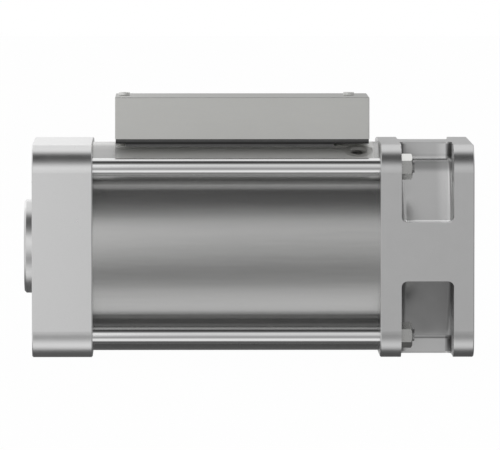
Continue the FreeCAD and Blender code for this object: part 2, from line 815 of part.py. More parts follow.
def hexagon(body, name, flats, side, height, offset):
    """Sketch a hexagon about (side, height), with two of its flats facing along Y."""
    corners = []
    for step in range(6):
        angle = 60 * step + 30
        spread = f"({flats}) / 2 / cos(30)"
        corners.append((f"{side} + {spread} * cos({angle})", f"{height} + {spread} * sin({angle})"))
    return polygon(body, name, "YZ_Plane", corners, offset)


def tie_rod_nuts():
    """Four hexagon nuts on the tie wall, with bevelled corners."""
    body = new_body("tie_rod_nuts")
    middle = ("tie_spacing / 2", "tie_spacing / 2")
    blank = pad(body, hexagon(body, "nut_outline", "nut_flats", *middle, "tie_face"), "nut_height")
    bore = lathe(
        body,
        "nut_bore",
        (
            ("tie_face - 1", "0"),
            ("tie_face + nut_height + 1", "0"),
            ("tie_face + nut_height + 1", "tie_thread / 2 + thread_play"),
            ("tie_face - 1", "tie_thread / 2 + thread_play"),
        ),
        "Groove",
        middle,
    )
    bevel = lathe(
        body,
        "nut_bevel",
        (
            ("tie_face + nut_height", "nut_flats / 2 - near"),
            ("tie_face + nut_height + 1", "nut_flats / 2 - near"),
            ("tie_face + nut_height + 1", "nut_flats"),
            ("tie_face + nut_height - nut_flats / 4", "nut_flats"),
        ),
        "Groove",
        middle,
    )
    around(body, "nut_set", [blank, bore, bevel], "4")
    return body


def barrel_seals():
    """The square-section rings between the barrel and the two registers."""
    body = new_body("barrel_seals")
    inner = "register_radius - ring_section + near"
    for name, start in (("front", "barrel_front"), ("rear", "(wall_face - register_length)")):
        low = f"{start} + (register_length - ring_groove) / 2 + near"
        high = f"{start} + (register_length + ring_groove) / 2 - near"
        section = (
            (low, inner),
            (high, inner),
            (high, "register_radius"),
            (low, "register_radius"),
        )
        lathe(body, f"{name}_barrel_seal", section)
    return body


# Rod guides


def ring(label, start, length, inner, outer, **settings):
    """Make a plain ring about the rod."""
    body = new_body(label, start)
    profile = (("0", inner), (length, inner), (length, outer), ("0", outer))
    lathe(body, label + "_profile", profile, **settings)
    return body


def rod_guide(side, bush_start, wiper_start, clip_start):
    """A cap's bush, wiper and retaining ring."""
    ring(
        f"{side}_bush", bush_start, "bush_length", "rod_radius + rod_play", "bush_radius - seat_play"
    )
    ring(
        f"{side}_wiper",
        wiper_start,
        "wiper_width",
        "rod_radius + near",
        "wiper_diameter / 2 - seat_play",
    )
    ring(
        f"{side}_retaining_ring",
        clip_start,
        "clip_width",
        "wiper_diameter / 2 + clip_depth - clip_reach",
        "wiper_diameter / 2 + clip_depth - near",
        Angle="360 - clip_gap",
        Midplane=True,
    )


# Piston with its sleeve, rings and trip pin


def taper_radius(x):
    """Give the inner radius of the sleeve's taper at x."""
    return f"jaw_large / 2 + taper_play + taper * ({x} - jaw_rear)"


def release_piston():
    """Annular piston whose sleeve closes the jaws, with seats for the springs and the trip pin."""
    body = new_body("release_piston")
    crown = "barrel_inner - crown_play"
    bore = "hub_radius + crown_play"
    step = "(jaw_rear - 4 * near)"
    lathe(
        body,
        "piston_profile",
        (
            ("crown_rear", bore),
            (step, bore),
            (step, taper_radius(step)),
            ("sleeve_front", taper_radius("sleeve_front")),
            ("sleeve_front", "sleeve_diameter / 2 - cap_edge"),
            ("sleeve_front + cap_edge", "sleeve_diameter / 2"),
            ("crown_front", "sleeve_diameter / 2"),
            ("crown_front", crown),
            ("crown_rear - cap_edge", crown),
            ("crown_rear", crown + " - cap_edge"),
        ),
    )
    for name, high, width in RING_PLACES:
        low = f"{high} - {width}"
        outer_floor = f"{crown} - groove_depth"
        outer = ((low, outer_floor), (high, outer_floor), (high, "barrel_bore"), (low, "barrel_bore"))
        inner_floor = f"{bore} + groove_depth"
        inner = ((low, "rod_radius"), (high, "rod_radius"), (high, inner_floor), (low, inner_floor))
        lathe(body, f"{name}_outer_groove", outer, "Groove")
        lathe(body, f"{name}_inner_groove", inner, "Groove")
    seat = circles(
        body,
        "spring_seat",
        "YZ_Plane",
        ((*FIRST_SPRING, "spring_diameter + 2 * spring_play"),),
        "crown_front",
    )
    around(body, "spring_seats", [pocket(body, seat, "crown_seat", Reversed=True)], "spring_count")
    hole = circles(
        body,
        "trip_seat_hole",
        "XY_Plane",
        (("trip_place", "0", "trip_pin + 2 * seat_play"),),
        "sleeve_diameter / 2 - trip_seat",
    )
    pocket(body, hole, "2 * trip_seat", Reversed=True)
    return body


def piston_rings():
    """The seals and guide rings in the piston's grooves."""
    for name, high, width in RING_PLACES:
        start = f"{high} - {width} + near"
        length = f"{width} - 2 * near"
        outer = "barrel_inner - seal_play"
        inner = "hub_radius + seal_play"
        depth = "(groove_depth + crown_play - seal_play - near)"
        ring(f"piston_{name}", start, length, f"{outer} - {depth}", outer)
        ring(f"hub_{name}", start, length, inner, f"{inner} + {depth}")


def trip_pin():
    """Pin on the sleeve that reaches up through the barrel, and the flag on its end."""
    low = "sleeve_diameter / 2 - trip_seat"
    flag_low = f"({FLAG_MIDDLE} - flag_height / 2)"
    pin = cylinder("trip_pin", "trip_pin", f"{FLAG_MIDDLE} - ({low}) - near", "trip_place", "0", low)
    flag = block(
        "flag_blank",
        "flag_thickness",
        "flag_width",
        "flag_height",
        "trip_place - flag_thickness / 2",
        "-flag_width / 2",
        flag_low,
    )
    stem = cylinder(
        "trip_pin_socket",
        "trip_pin + 2 * seat_play",
        "flag_height / 2",
        "trip_place",
        "0",
        flag_low,
    )
    cut("trip_flag", flag, [stem])
    return pin


# Jaws and what supports their ends


def jaw(number):
    """One jaw with its keys, and its friction lining."""
    quarter = (X_AXIS, str(90 * (number - 1)))
    body = new_body(f"jaw_{number}", turn=quarter)
    inner = "rod_radius + lining + seat_play"
    sector = {"Angle": "jaw_angle", "Midplane": True}
    small = "jaw_large / 2 - taper * jaw_length"
    lathe(
        body,
        f"jaw_{number}_profile",
        (("jaw_front", inner), ("jaw_rear", inner), ("jaw_rear", "jaw_large / 2"), ("jaw_front", small)),
        **sector,
    )
    for name, x_range in (
        ("front", ("jaw_front - key_height", "jaw_front + 1")),
        ("rear", ("jaw_rear - 1", "jaw_rear + key_height")),
    ):
        key = rectangle(body, f"jaw_{number}_{name}_key", "XZ_Plane", x_range, ("key_inner", "key_outer"))
        pad(body, key, "key_width", Midplane=True)
    seats = circles(
        body,
        f"jaw_{number}_opener_seats",
        "XY_Plane",
        [(x, "opener_radius", "opener_diameter + 2 * hole_play") for x in OPENERS],
        lean="45",
    )
    cut_seats = pocket(body, seats, f"2 * (opener_depth + {HALF_GAP})", Midplane=True)
    mirrored(body, f"jaw_{number}_other_seats", [cut_seats], "XZ_Plane")
    pad_body = new_body(f"lining_{number}", turn=quarter)
    lathe(
        pad_body,
        f"lining_{number}_profile",
        (
            ("jaw_front", "rod_radius"),
            ("jaw_rear", "rod_radius"),
            ("jaw_rear", "rod_radius + lining"),
            ("jaw_front", "rod_radius + lining"),
        ),
        **sector,
    )


def jaw_openers():
    """The small springs between the jaws, as plain closed solids."""
    body = new_body("jaw_openers")
    sketch = circles(
        body,
        "opener_outline",
        "XY_Plane",
        [(x, "opener_radius", "opener_diameter") for x in OPENERS],
        lean="45",
    )
    spring = pad(body, sketch, f"2 * (opener_depth + {HALF_GAP} - near)", Midplane=True)
    around(body, "opener_set", [spring], "4")
    return body


def key_slots(body, name, x_range):
    """Cut the four slots that guide the jaws' keys."""
    reach = "key_outer + taper * stroke + key_play"
    slot = rectangle(body, name, "XZ_Plane", x_range, ("rod_radius", reach))
    width = "key_width + 2 * key_play"
    around(body, name + "_set", [pocket(body, slot, width, Midplane=True)], "4")


def thrust_ring():
    """Hardened ring on the hub that the jaws push against, with its four screws."""
    body = new_body("thrust_ring", "hub_end - thrust_ring")
    rim = "hub_radius - thrust_rim"
    lathe(
        body,
        "thrust_ring_profile",
        (("0", "rod_clear"), ("thrust_ring", "rod_clear"), ("thrust_ring", rim), ("0", rim)),
    )
    key_slots(body, "rear_key_slot", ("-1", "key_height + key_play"))
    hole = "thrust_screw + 2 * hole_play"
    corner_holes(
        body, "thrust_holes", "thrust_screw_circle * sqrt(0.5)", hole, "0", "thrust_ring + 1", Reversed=True
    )
    corner_holes(
        body,
        "thrust_heads",
        "thrust_screw_circle * sqrt(0.5)",
        "thrust_screw_head + 2 * hole_play",
        "0",
        "thrust_screw + near",
        Reversed=True,
    )
    screws = new_body("thrust_ring_screws", "hub_end - thrust_ring")
    corner = "thrust_screw_circle / 2 * sqrt(0.5)"
    end = "(thrust_ring + thrust_screw_depth)"
    screw = lathe(
        screws,
        "thrust_screw_profile",
        (
            ("near", "0"),
            (end, "0"),
            (end, "thrust_screw / 2"),
            ("thrust_screw + near", "thrust_screw / 2"),
            ("thrust_screw + near", "thrust_screw_head / 2"),
            ("near", "thrust_screw_head / 2"),
        ),
        centre=(corner, corner),
    )
    around(screws, "thrust_screw_set", [screw], "4")
    return body


def thrust_sleeve():
    """Sleeve on the front cap that the jaws push against the other way."""
    body = new_body("thrust_sleeve", "barrel_front")
    length = "(jaw_front - jaw_play - barrel_front)"
    lathe(
        body,
        "thrust_sleeve_profile",
        (
            ("0", "rod_clear"),
            (length, "rod_clear"),
            (length, "thrust_sleeve / 2"),
            ("register_length", "thrust_sleeve / 2"),
            ("register_length", "thrust_foot / 2"),
            ("0", "thrust_foot / 2"),
        ),
    )
    key_slots(body, "front_key_slot", (f"{length} - key_height - key_play", f"{length} + 1"))
    return body


# Brake springs


def spring_node(label, profile):
    """Turn a profile about the first spring's axis and repeat it for every spring."""
    body = new_body(label, turn=(X_AXIS, HALF_STEP))
    solid = lathe(body, label + "_profile", profile, centre=("0", "spring_circle / 2"))
    around(body, label + "_set", [solid], "spring_count")
    return body


def brake_springs():
    """The coil springs, as plain closed tubes of their outer size, and the pins inside them."""
    outer = "spring_diameter / 2"
    inner = "spring_diameter / 2 - spring_wire"
    spring_node(
        "brake_springs",
        (
            ("spring_front", inner),
            ("spring_rear", inner),
            ("spring_rear", outer),
            ("spring_front", outer),
        ),
    )
    tip = "(crown_front - stroke - guide_pin_end)"
    foot = "(plate_rear - plate_thickness)"
    spring_node(
        "spring_guide_pins",
        (
            (foot, "0"),
            (tip, "0"),
            (tip, "guide_pin / 2"),
            (foot, "guide_pin / 2"),
        ),
    )


def spring_plate():
    """Plate on the front cap's register that the springs stand on."""
    body = new_body("spring_plate")
    front = "(plate_rear - plate_thickness)"
    inner = "thrust_sleeve / 2 + near"
    outer = "barrel_inner - plate_play"
    lathe(
        body,
        "spring_plate_profile",
        ((front, inner), ("plate_rear", inner), ("plate_rear", outer), (front, outer)),
    )
    for name, diameter, depth in (
        ("plate_seat", "spring_diameter + 2 * spring_play", "plate_seat"),
        ("pin_hole", "guide_pin + 2 * seat_play", "plate_thickness + 1"),
    ):
        sketch = circles(body, name + "_outline", "YZ_Plane", ((*FIRST_SPRING, diameter),), "plate_rear")
        around(body, name + "_set", [pocket(body, sketch, depth)], "spring_count")
    return body


# Air port


def leaning(name, angle, diameter, low, height, other=None):
    """Make a cylinder or cone on the axis of a port that leans by an angle."""
    spot = ("port_place", f"-({low}) * sin({angle})", f"({low}) * cos({angle})")
    if other:
        return cone(name, diameter, other, height, *spot, (X_AXIS, angle))
    return cylinder(name, diameter, height, *spot, (X_AXIS, angle))


def port_inserts():
    """Threaded inserts in the barrel's wall, one under the box's edge and one on the far side."""
    inserts = []
    for tag, angle in PORTS:
        rim = leaning(
            f"{tag}_rim", angle, "port_rim", f"{PORT_TOP} - port_rim_height", "port_rim_height"
        )
        neck = leaning(f"{tag}_neck", angle, "port_neck", f"{PORT_TOP} - port_length", "port_length")
        bore = leaning(
            f"{tag}_bore", angle, "port_core", f"{PORT_TOP} - port_length - 1", "port_length + 2"
        )
        mouth = leaning(
            f"{tag}_mouth",
            angle,
            "port_core",
            f"{PORT_TOP} - port_chamfer",
            "2 * port_chamfer",
            "port_core + 4 * port_chamfer",
        )
        inserts.append(cut(f"{tag}_insert", fused(f"{tag}_blank", [rim, neck]), [bore, mouth]))
    grouped("port_inserts", inserts)


def port_plug():
    """Plug with a hexagon socket in the port under the box's edge."""
    top = f"{PORT_TOP} - screw_plug_sink"
    body = leaning(
        "plug_body",
        "port_angle",
        "port_core - 2 * thread_play",
        f"{top} - screw_plug_length",
        "screw_plug_length",
    )
    socket = doc.addObject("Part::Prism", "plug_socket_hole")
    socket.Polygon = 6
    bind(socket, "Circumradius", "screw_plug_socket / sqrt(3)")
    bind(socket, "Height", "2 * screw_plug_socket_depth")
    low = f"{top} - screw_plug_socket_depth"
    place(
        socket,
        "port_place",
        f"-({low}) * sin(port_angle)",
        f"({low}) * cos(port_angle)",
        (X_AXIS, "port_angle"),
    )
    cut("port_plug", body, [socket])


# Switch box


def switch_rails():
    """Two rails, hollowed to the barrel, that carry the base plate."""
    body = new_body("switch_rails", RAIL_FRONT)
    low = "barrel_outer - 2 * rail_screw"
    outline = rectangle(
        body, "rail_outline", "YZ_Plane", ("rail_inner", "rail_outer"), (low, "base_bottom")
    )
    blank = pad(body, outline, "rail_length")
    saddle = lathe(
        body,
        "rail_saddle",
        (
            ("-1", "0"),
            ("rail_length + 1", "0"),
            ("rail_length + 1", "barrel_outer + seat_play"),
            ("-1", "barrel_outer + seat_play"),
        ),
        "Groove",
    )
    inset = ("rail_screw_inset", "rail_length - rail_screw_inset")
    holes = circles(
        body,
        "rail_holes",
        "XY_Plane",
        [(x, "rail_screw_side", "rail_screw + 2 * hole_play") for x in inset],
        "barrel_inner / 2",
    )
    cut_holes = pocket(body, holes, "barrel_bore", Reversed=True)
    mirrored(body, "other_rail", [blank, saddle, cut_holes], "XZ_Plane")
    return body


def inset_block(name, inset, bottom, height):
    """Make a block over the box's outline, smaller by an inset all round."""
    return block(
        name,
        f"box_length - 2 * {inset}",
        f"box_width - 2 * {inset}",
        height,
        f"box_front + {inset}",
        f"-(box_width / 2 - {inset})",
        bottom,
    )


def base_plate():
    """Base plate of the switch box with its slot, and the screws that hold it and the rails."""
    plate = inset_block("base_blank", "base_inset", "base_bottom", "base_thickness")
    slot = block(
        "base_slot",
        "stroke + trip_pin + 2 * slot_spare",
        "slot_width",
        "3 * base_thickness",
        "trip_place - stroke - trip_pin / 2 - slot_spare",
        "-slot_width / 2",
        "base_bottom - base_thickness",
    )
    tools = [slot]
    screws = []
    depth = "(rail_screw_head - rail_screw) / 2"
    for index, (x, side) in enumerate((x, side) for x in RAIL_SCREWS for side in SIDES):
        end = "(barrel_outer - rail_screw_end)"
        tools.append(
            cylinder(
                f"base_hole_{index}",
                "rail_screw + 2 * hole_play",
                "3 * base_thickness",
                x,
                side,
                "base_bottom - base_thickness",
            )
        )
        tools.append(
            cone(
                f"base_sink_{index}",
                "rail_screw + 2 * hole_play",
                "rail_screw_head + 2 * hole_play",
                depth,
                x,
                side,
                f"base_top - {depth}",
            )
        )
        shank = cylinder(f"rail_shank_{index}", "rail_screw", f"base_top - {end}", x, side, end)
        head = cone(
            f"rail_head_{index}", "rail_screw", "rail_screw_head", depth, x, side, f"base_top - {depth}"
        )
        screws.append(fused(f"rail_screw_{index}", [shank, head]))
    grouped("rail_screws", screws)
    return cut("switch_base", plate, tools)


def switch_gasket():
    """Rubber frame between the base plate and the cover's rim, with a skirt round the plate."""
    outer = inset_block(
        "gasket_blank", "gasket_inset", "base_bottom", "base_thickness + gasket_thickness"
    )
    seat = inset_block(
        "gasket_seat", "(base_inset - seat_play)", "base_bottom - base_thickness", "2 * base_thickness"
    )
    opening = inset_block(
        "gasket_opening", "(base_inset + gasket_width)", "base_bottom", "2 * base_thickness"
    )
    return cut("switch_gasket", outer, [seat, opening])


def switch_cover():
    """Cover of the switch box: a shell with two screw holes and a cable hole at the back."""
    body = new_body("switch_cover", "box_front", "0", "cover_bottom")
    sides = ("-box_width / 2", "box_width / 2")
    pad(body, rectangle(body, "cover_outline", "XY_Plane", ("0", "box_length"), sides), "box_height")
    top = value("box_height")

    def outside(edge):
        """Pick every edge but those round the open side."""
        return edge.BoundBox.ZMax > top / 2

    fillet(body, "cover_edges", "cover_edge", outside)
    hollow = rectangle(
        body,
        "cover_hollow",
        "XY_Plane",
        ("cover_wall", "box_length - cover_wall"),
        ("-(box_width / 2 - cover_wall)", "box_width / 2 - cover_wall"),
    )
    pocket(body, hollow, "box_height - cover_wall", Reversed=True)
    holes = circles(
        body,
        "cover_holes",
        "XY_Plane",
        [(f"{x} - box_front", "0", "cover_screw + 2 * hole_play") for x in COVER_SCREWS],
        "box_height",
    )
    pocket(body, holes, "2 * cover_wall")
    cable = circles(
        body,
        "cable_hole",
        "XZ_Plane",
        (("plug_inset", "switch_height - gasket_thickness", "plug_neck + 2 * hole_play"),),
        "-box_width / 2",
    )
    pocket(body, cable, "2 * cover_wall", Reversed=True)
    return body


def cover_fixings():
    """Pillars between base plate and cover, the cover's screws, and the plug in its cable hole."""
    pillars = []
    screws = []
    inner_top = "(cover_top - cover_wall)"
    for index, x in enumerate(COVER_SCREWS):
        post = cylinder(
            f"pillar_blank_{index}", "pillar_diameter", f"{inner_top} - base_top", x, "0", "base_top"
        )
        thread = cylinder(
            f"pillar_thread_{index}",
            "cover_screw + 2 * thread_play",
            "cover_screw_depth + 2",
            x,
            "0",
            f"{inner_top} - cover_screw_depth - 1",
        )
        pillars.append(cut(f"pillar_{index}", post, [thread]))
        shank = cylinder(
            f"cover_shank_{index}",
            "cover_screw",
            "cover_screw_depth + cover_wall",
            x,
            "0",
            f"{inner_top} - cover_screw_depth",
        )
        head = cylinder(
            f"cover_head_{index}", "cover_screw_head", "cover_screw_height", x, "0", "cover_top"
        )
        socket = cylinder(
            f"cover_socket_{index}",
            "cover_screw / 1.5",
            "cover_screw_height",
            x,
            "0",
            "cover_top + cover_screw_height / 2",
        )
        screws.append(
            cut(f"cover_screw_{index}", fused(f"cover_screw_blank_{index}", [shank, head]), [socket])
        )
    grouped("cover_pillars", pillars)
    grouped("cover_screws", screws)
    turned = (X_AXIS, "-90")
    spot = ("box_front + plug_inset", FLAG_MIDDLE)
    back = "box_width / 2"
    head = cylinder("plug_head_solid", "plug_diameter", "plug_head", spot[0], back, spot[1], turned)
    neck = cylinder(
        "plug_neck_solid",
        "plug_neck",
        "2 * plug_head + cover_wall",
        spot[0],
        f"{back} - cover_wall - plug_head",
        spot[1],
        turned,
    )
    socket = doc.addObject("Part::Prism", "plug_socket_solid")
    socket.Polygon = 6
    bind(socket, "Circumradius", "plug_socket / 2 / cos(30)")
    bind(socket, "Height", "plug_head + 1")
    place(socket, spot[0], back, spot[1], turned)
    cut("cable_plug", fused("plug_blank", [head, neck]), [socket])


def switches():
    """Two proximity switches that face the flag from either side, with nuts and brackets."""
    nuts = []
    brackets = []
    along = (Y_AXIS, "90")
    faces = (
        ("clamped_switch", "trip_place + flag_thickness / 2 + switch_gap", "1"),
        ("released_switch", "trip_place - stroke - flag_thickness / 2 - switch_gap", "-1"),
    )
    for label, face, way in faces:
        low = f"{face} + ({way} - 1) / 2 * switch_length"
        body = cylinder(label, "switch_diameter", "switch_length", low, "0", FLAG_MIDDLE, along)
        body.Label = label
        hole = "switch_diameter + 2 * near"
        middle = f"({face} + {way} * bracket_place)"
        plate_low = f"({middle} - bracket_thickness / 2)"
        plate = block(
            f"{label}_plate",
            "bracket_thickness",
            "bracket_width",
            "bracket_height",
            plate_low,
            "-bracket_width / 2",
            "base_top",
        )
        foot = block(
            f"{label}_foot",
            "bracket_foot",
            "bracket_width",
            "bracket_thickness",
            f"{middle} + ({way} - 1) / 2 * bracket_foot",
            "-bracket_width / 2",
            "base_top",
        )
        opening = cylinder(
            f"{label}_hole",
            hole,
            "3 * bracket_thickness",
            f"{plate_low} - bracket_thickness",
            "0",
            FLAG_MIDDLE,
            along,
        )
        brackets.append(cut(f"{label}_bracket", fused(f"{label}_angle", [plate, foot]), [opening]))
        for side, start in (
            ("front", f"{plate_low} - switch_nut"),
            ("rear", f"{plate_low} + bracket_thickness"),
        ):
            blank = doc.addObject("Part::Prism", f"{label}_{side}_nut_blank")
            blank.Polygon = 6
            bind(blank, "Circumradius", "switch_nut_flats / 2 / cos(30)")
            bind(blank, "Height", "switch_nut")
            place(blank, start, "0", FLAG_MIDDLE, along)
            bore = cylinder(
                f"{label}_{side}_nut_bore",
                hole,
                "3 * switch_nut",
                f"{start} - switch_nut",
                "0",
                FLAG_MIDDLE,
                along,
            )
            nuts.append(cut(f"{label}_{side}_nut", blank, [bore]))
    grouped("switch_nuts", nuts)
    grouped("switch_brackets", brackets)


NODES = (
    "front_cap",
    "flange_cap",
    "barrel",
    "tie_rods",
    "tie_rod_nuts",
    "barrel_seals",
    "front_bush",
    "front_wiper",
    "front_retaining_ring",
    "rear_bush",
    "rear_wiper",
    "rear_retaining_ring",
    "thrust_ring",
    "thrust_ring_screws",
    "thrust_sleeve",
    "release_piston",
    "piston_seal",
    "piston_guide",
    "hub_seal",
    "hub_guide",
    "trip_pin",
    "trip_flag",
    "jaw_1",
    "jaw_2",
    "jaw_3",
    "jaw_4",
    "lining_1",
    "lining_2",
    "lining_3",
    "lining_4",
    "jaw_openers",
    "brake_springs",
    "spring_guide_pins",
    "spring_plate",
    "port_inserts",
    "port_plug",
    "switch_rails",
    "rail_screws",
    "switch_base",
    "switch_gasket",
    "switch_cover",
    "cover_pillars",
    "cover_screws",
    "cable_plug",
    "clamped_switch",
    "released_switch",
    "switch_nuts",
    "switch_brackets",
)


def build():
    """Model every piece."""
    front_cap()
    flange_cap()
    barrel()
    tie_rods()
    tie_rod_nuts()
    barrel_seals()
    front_seat = "(front_end + 2 * clip_width + wiper_width)"
    rod_guide("front", f"{front_seat} + shoulder", "front_end + 2 * clip_width", "front_end + clip_width")
    rear_seat = "(-recess_depth - 2 * clip_width - wiper_width)"
    rod_guide(
        "rear",
        f"{rear_seat} - shoulder - bush_length",
        rear_seat,
        "-recess_depth - 2 * clip_width",
    )
    thrust_ring()
    thrust_sleeve()
    release_piston()
    piston_rings()
    trip_pin()
    for number in range(1, 5):
        jaw(number)
    jaw_openers()
    brake_springs()
    spring_plate()
    port_inserts()
    port_plug()
    switch_rails()
    base_plate()
    switch_gasket()
    switch_cover()
    cover_fixings()
    switches()
    doc.recompute()


def export():
    """Check every object, then write each piece to its own file."""
    for item in doc.Objects:
        if {"Invalid", "Error"} & set(item.State):
            raise RuntimeError(f"{item.Name} failed: {item.State}")
    pieces = {item.Label: item for item in doc.Objects}
    for name in NODES:
        shape = pieces[name].Shape
        if shape.isNull() or not shape.isValid() or not shape.Solids:
            raise RuntimeError(f"{name} has no valid solid")
        shape.exportStep(os.path.join(PARTS_FOLDER, name + ".step"))


os.makedirs(PARTS_FOLDER, exist_ok=True)
fill_sheet()
build()
export()
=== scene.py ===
"""Looks of a rod brake for a pneumatic cylinder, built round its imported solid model.

The brake lies along X with its mounting face at the origin. Lengths are in metres, in the
frame of the solid model. Solids whose shape is right keep it and get a finish here; rods,
nuts, screws, springs and threads are grown by Geometry Nodes and stand for their solids.
"""

import logging
import math
from dataclasses import dataclass
from enum import Enum

import bpy
from mathutils import Matrix, Vector


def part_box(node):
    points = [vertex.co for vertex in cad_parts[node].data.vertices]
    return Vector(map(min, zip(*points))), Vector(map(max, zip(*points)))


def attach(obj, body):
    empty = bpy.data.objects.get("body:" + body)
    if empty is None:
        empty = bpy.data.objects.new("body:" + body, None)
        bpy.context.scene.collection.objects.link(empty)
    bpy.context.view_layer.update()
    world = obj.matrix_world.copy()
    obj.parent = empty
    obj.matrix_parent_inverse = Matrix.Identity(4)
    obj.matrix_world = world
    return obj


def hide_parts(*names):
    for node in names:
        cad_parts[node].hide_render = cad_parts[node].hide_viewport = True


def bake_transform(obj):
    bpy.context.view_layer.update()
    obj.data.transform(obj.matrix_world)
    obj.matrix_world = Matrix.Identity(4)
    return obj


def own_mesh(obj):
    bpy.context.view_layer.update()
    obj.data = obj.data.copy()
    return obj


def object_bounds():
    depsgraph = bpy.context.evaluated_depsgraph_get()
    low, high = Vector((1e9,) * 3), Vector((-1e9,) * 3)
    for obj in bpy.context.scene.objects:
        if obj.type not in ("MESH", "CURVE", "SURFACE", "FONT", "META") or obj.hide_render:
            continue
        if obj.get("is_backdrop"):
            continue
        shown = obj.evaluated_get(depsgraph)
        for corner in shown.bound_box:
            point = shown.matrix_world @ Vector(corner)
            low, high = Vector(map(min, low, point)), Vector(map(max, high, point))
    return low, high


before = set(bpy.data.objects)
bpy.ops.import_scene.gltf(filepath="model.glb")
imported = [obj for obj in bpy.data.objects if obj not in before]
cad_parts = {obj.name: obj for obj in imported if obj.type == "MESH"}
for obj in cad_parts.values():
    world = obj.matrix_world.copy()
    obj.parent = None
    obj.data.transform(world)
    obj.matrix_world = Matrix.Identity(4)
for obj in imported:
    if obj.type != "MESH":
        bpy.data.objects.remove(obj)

MM = 0.001
FLOOR_GAP = 0.05 * MM
HOUSING = "housing"
OIL_ROUGHNESS = 0.2
Z_ONTO_X = (0.0, math.pi / 2, 0.0)
X_ONTO_Z = (0.0, -math.pi / 2, 0.0)

log = logging.getLogger("brake")

Socket = bpy.types.NodeSocket
Node = bpy.types.Node
Object = bpy.types.Object
Material = bpy.types.Material


class Slot(Enum):
    """Material slots of the record, given with each grown piece."""

    CAP = "cap_metal"
    ROD = "rod_steel"
    NUT = "nut_steel"
    SPRING = "spring_steel"


def grey(level: float) -> tuple[float, float, float, float]:
    """Return the opaque grey of a level."""
    return (level, level, level, 1.0)


def placed(name: str, data: object) -> Object:
    """Put a new object with this data into the scene and return it."""
    made = bpy.data.objects.new(name, data)
    bpy.context.scene.collection.objects.link(made)
    return made


class Graph:
    """Adds and joins the nodes of one node tree."""

    def __init__(self, tree: bpy.types.NodeTree) -> None:
        """Hold the tree that the nodes go into."""
        self.tree = tree

    @classmethod
    def of(cls, owner: Material | bpy.types.World) -> "Graph":
        """Return a graph on the emptied nodes of a material or a world."""
        owner.use_nodes = True
        owner.node_tree.nodes.clear()
        return cls(owner.node_tree)

    def add(self, kind: str, inputs: dict | None = None, **settings: object) -> Node:
        """Add a node.

        Args:
            kind: The node's type.
            inputs: A value or a socket to join for each named or numbered input.
            settings: The node's own properties.

        Returns:
            The new node.
        """
        node = self.tree.nodes.new(kind)
        for name, item in settings.items():
            setattr(node, name, item)
        for name, item in (inputs or {}).items():
            if isinstance(item, Socket):
                self.tree.links.new(item, node.inputs[name])
            else:
                node.inputs[name].default_value = item
        return node

    def parts(self, output: str = "Object") -> dict[str, Socket]:
        """Return the X, Y and Z of one of the texture coordinates."""
        place = self.add("ShaderNodeTexCoord").outputs[output]
        return self.add("ShaderNodeSeparateXYZ", {0: place}).outputs

    def number(self, operation: str, first: object, second: object = 0.0) -> Socket:
        """Work out one number.

        Args:
            operation: The Math node's operation.
            first: A number or a socket.
            second: A number or a socket.

        Returns:
            The socket with the result.
        """
        node = self.add("ShaderNodeMath", {0: first, 1: second}, operation=operation)
        return node.outputs[0]

    def ramp(self, share: Socket, stops: list[tuple[float, float]], kind: str) -> Socket:
        """Turn a share from 0 to 1 into a grey level.

        Args:
            share: The socket with the share.
            stops: A place and a level for each stop.
            kind: How the levels between two stops are found.

        Returns:
            The socket with the grey colour.
        """
        node = self.add("ShaderNodeValToRGB", {0: share})
        node.color_ramp.interpolation = kind
        while len(node.color_ramp.elements) < len(stops):
            node.color_ramp.elements.new(0.5)
        for element, (place, level) in zip(node.color_ramp.elements, stops):
            element.position = place
            element.color = grey(level)
        return node.outputs[0]

    def mix(self, mask: Socket, first: object, second: object) -> Socket:
        """Mix two numbers by a mask and return the socket with the result."""
        return self.add("ShaderNodeMix", {0: mask, 2: first, 3: second}).outputs[0]

    def tint(self, mask: Socket, first: object, second: object) -> Socket:
        """Mix two colours by a mask and return the socket with the result."""
        inputs = {0: mask, 6: first, 7: second}
        return self.add("ShaderNodeMix", inputs, data_type="RGBA").outputs[2]

    def blend(
        self, mask: Socket, look: dict[str, object], colour: object, rough: float
    ) -> dict[str, object]:
        """Blend a look's colour and roughness to others.

        Args:
            mask: The socket with the share of the others.
            look: The look's base colour and roughness.
            colour: The other colour.
            rough: The other roughness.

        Returns:
            The blended base colour and roughness.
        """
        if isinstance(colour, tuple):
            colour = (*colour, 1.0)
        return {
            "Base Color": self.tint(mask, look["Base Color"], colour),
            "Roughness": self.mix(mask, look["Roughness"], rough),
        }

    def gained(self, look: dict[str, object], gain: Socket) -> dict[str, object]:
        """Return a look's base colour times a gain."""
        return {"Base Color": self.vector("MULTIPLY", look["Base Color"], gain)}

    def product(self, first: object, *others: object) -> Socket:
        """Multiply numbers and return the socket with the result."""
        for other in others:
            first = self.number("MULTIPLY", first, other)
        return first

    def vector(self, operation: str, first: object, second: object) -> Socket:
        """Combine two vectors and return the socket with the result."""
        node = self.add("ShaderNodeVectorMath", {0: first, 1: second}, operation=operation)
        return node.outputs[0]

    def joined(self, x: object, y: object, z: object) -> Socket:
        """Return the vector with these three parts."""
        return self.add("ShaderNodeCombineXYZ", {0: x, 1: y, 2: z}).outputs[0]

    def span(self, value: Socket, low: float, high: float, to: tuple[float, float]) -> Socket:
        """Map a range to another, smoothly and clamped.

        Args:
            value: The socket with the number.
            low: Where the first range starts.
            high: Where the first range ends.
            to: The second range.

        Returns:
            The socket with the mapped number.
        """
        inputs = {0: value, 1: low, 2: high, 3: to[0], 4: to[1]}
        node = self.add("ShaderNodeMapRange", inputs, interpolation_type="SMOOTHSTEP")
        return node.outputs[0]


